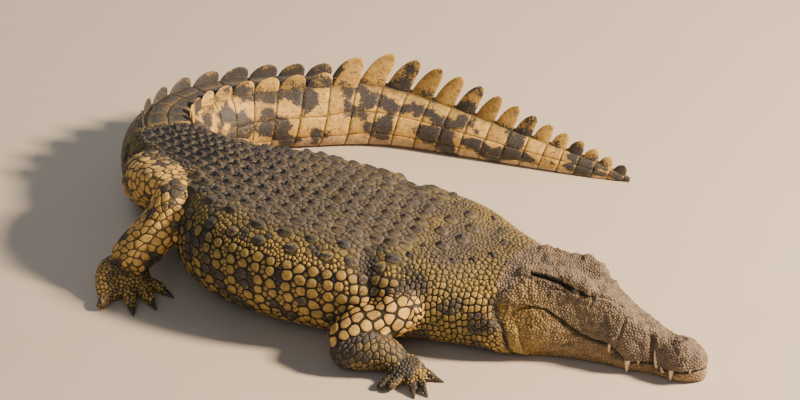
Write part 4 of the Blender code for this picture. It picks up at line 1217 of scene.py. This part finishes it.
PIECES = {"head_upper": ("head_upper",), "head_lower": ("head_lower",), "neck": ("neck",),
          "trunk_front": ("trunk_front",), "trunk_rear": ("trunk_rear",),
          "tail": ("tail_1", "tail_2", "tail_3", "tail_4"), "legs": tuple(PARENT)}
for group, wanted in PIECES.items():
    for label, few, shape in (("ring", ringed, PANEL),
                              ("big", (sizes > BIG_FROM) & ~ringed, BIG),
                              ("small", (sizes <= BIG_FROM) & (sizes > SMALL_FROM), SMALL),
                              ("tiny", sizes <= SMALL_FROM, TINY)):
        chosen = np.nonzero(np.isin(kinds, wanted) & few)[0]
        if not len(chosen):
            continue
        piece, seed, rim, crown, spread = lay_plates(f"{group}_{label}_scales", chosen, *shape)
        mesh = piece.data
        places = points_of(mesh)
        local = tones(places, names[seed]) if label == "ring" else tone
        for name in tone:
            values = local[name] if label == "ring" and name in local else tone[name][seed]
            if name == "dark":
                values = np.where(keels[seed] > 0.005, np.maximum(0.8 * values, 1.3 * crown ** 0.7), values)
            give(mesh, name, values)
        give(mesh, "rim", rim)
        limbs = sorted(set(names[chosen])) if group == "legs" else []
        ends = along[chosen].min() - 0.02, along[chosen].max() + 0.02
        roots = places if label == "ring" else centres[seed]
        flat = unwrapped(roots, names[seed], *ends, limbs) + (0 if label == "ring" else spread)
        corner_of = np.array([loop.vertex_index for loop in mesh.loops])
        mesh.uv_layers.new(name="OFBake").data.foreach_set("uv", flat[corner_of].ravel())
        mesh.shade_smooth()
        mesh.materials.append(hide)
        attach(piece, "root")

# The scales hide most of the skin, so it keeps fewer faces once they are laid.
SKIN_FACES = 190000
take_up(skin)
thin = skin.modifiers.new("thin", "DECIMATE")
thin.ratio = SKIN_FACES / sum(len(face.vertices) - 2 for face in skin_mesh.polygons)
bpy.ops.object.modifier_apply(modifier=thin.name)
skin_mesh = skin.data
skin_points = points_of(skin_mesh)
skin_points[:, 2] = np.maximum(skin_points[:, 2], 0.0)
set_points(skin_mesh, skin_points)
for name, values in (tones(skin_points, part_of(skin_points)) | {"rim": 1.0, "lot": 0.5}).items():
    give(skin_mesh, name, values)
skin_mesh.materials.append(hide)
skin_mesh.shade_smooth()

# The fins of the crest: cream, with some grey rings, smudged, and dark where they meet; the far row, on the
# animal's right, is painted grey as shade.
crest_points = points_of(crest.data)
crest_along, crest_left, crest_up = body_places(crest_points)
fin = np.arange(len(crest_points)) // (CREST_LEVELS * CREST_SIDES)
fin_middle = np.array([crest_along[fin == i][:CREST_SIDES].mean() for i in range(fin[-1] + 1)])
fin_ring = np.searchsorted(WHORLS, fin_middle)[fin]
edgeways = np.abs(np.cos(math.tau * (np.arange(len(crest_points)) % CREST_SIDES) / CREST_SIDES))
above = crest_up - top_at(crest_along)
# painted shade: the row on the right, turned from the light, is greyer
shaded_far_row = (crest_along < SINGLE_CREST_FROM) & (crest_left + lean_at(crest_along) * crest_up < 0)
grey = np.where(shaded_far_row, 0.62, np.where(fin_ring % 3 == 0, 0.50, 0.12))
grey += 0.45 * noise_at(crest_points, 30) + 0.25 * step_up(above, 0.03, 0.0)
for name, values in {"warm": 1.0, "cream": 0.85, "pink": 0.0, "line": 0.8, "deep": 0.0,
                     "dark": np.clip(grey, 0, 1), "rim": edgeways ** 10 * step_up(above, 0.05, 0.02),
                     "lot": (fin_ring * 0.37) % 1}.items():
    give(crest.data, name, values)
crest.data.materials.append(hide)

# ---------- eyes
# The eyeballs of the solids, olive with a dark pupil, under a wet film.  They show only in the slit
# of the lids.

for side, sign in (("left", 1), ("right", -1)):
    iris, place = new_material(f"wet_eye_{side}")      # smooth and wet, so it glints
    gaze = on_body(EYE_PLACE[0] * HEAD, sign * (EYE_PLACE[1] * HEAD + EYE_RADIUS), EYE_PLACE[2] * HEAD)
    far = add_node(iris, "ShaderNodeVectorMath", {"operation": "DISTANCE", 0: place, 1: tuple(gaze)})
    outside = add_node(iris, "ShaderNodeMapRange", {"Value": far.outputs["Value"],
                                                    "From Min": 0.004, "From Max": 0.009})
    shade = add_node(iris, "ShaderNodeMix", {"data_type": "RGBA", 0: outside.outputs["Result"],
                                             6: "#0c0a06", 7: "#3d3315"})
    surface = add_node(iris, "ShaderNodeBsdfPrincipled", {"Roughness": 0.22, "Coat Weight": 0.25,
                                                          "Base Color": shade.outputs[2]})
    add_node(iris, "ShaderNodeOutputMaterial", {"Surface": surface.outputs[0]})
    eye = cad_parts[f"eye_{side}"]
    eye.data.materials.clear()
    eye.data.materials.append(iris)

# ---------- claws
# The claws of the solids, three to each hand and foot.  They are of dark horn, worn and pitted, with a
# paler grain.

horn, place = new_material("claw_horn_grained")      # worn horn, half glossy
grain = add_node(horn, "ShaderNodeTexNoise", {"Scale": 300.0, "Detail": 4.0, "Vector": place})
shade = add_node(horn, "ShaderNodeMix", {"data_type": "RGBA", 0: grain.outputs["Fac"],
                                         6: "#1d1815", 7: "#5c4f43"})
pits = add_node(horn, "ShaderNodeBump", {"Strength": 0.3, "Distance": 0.001, "Height": grain.outputs["Fac"]})
surface = add_node(horn, "ShaderNodeBsdfPrincipled", {"Roughness": 0.42, "Base Color": shade.outputs[2],
                                                      "Normal": pits.outputs[0]})
add_node(horn, "ShaderNodeOutputMaterial", {"Surface": surface.outputs[0]})
for name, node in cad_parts.items():
    if name.startswith("claw"):
        node.data.materials.clear()
        node.data.materials.append(horn)
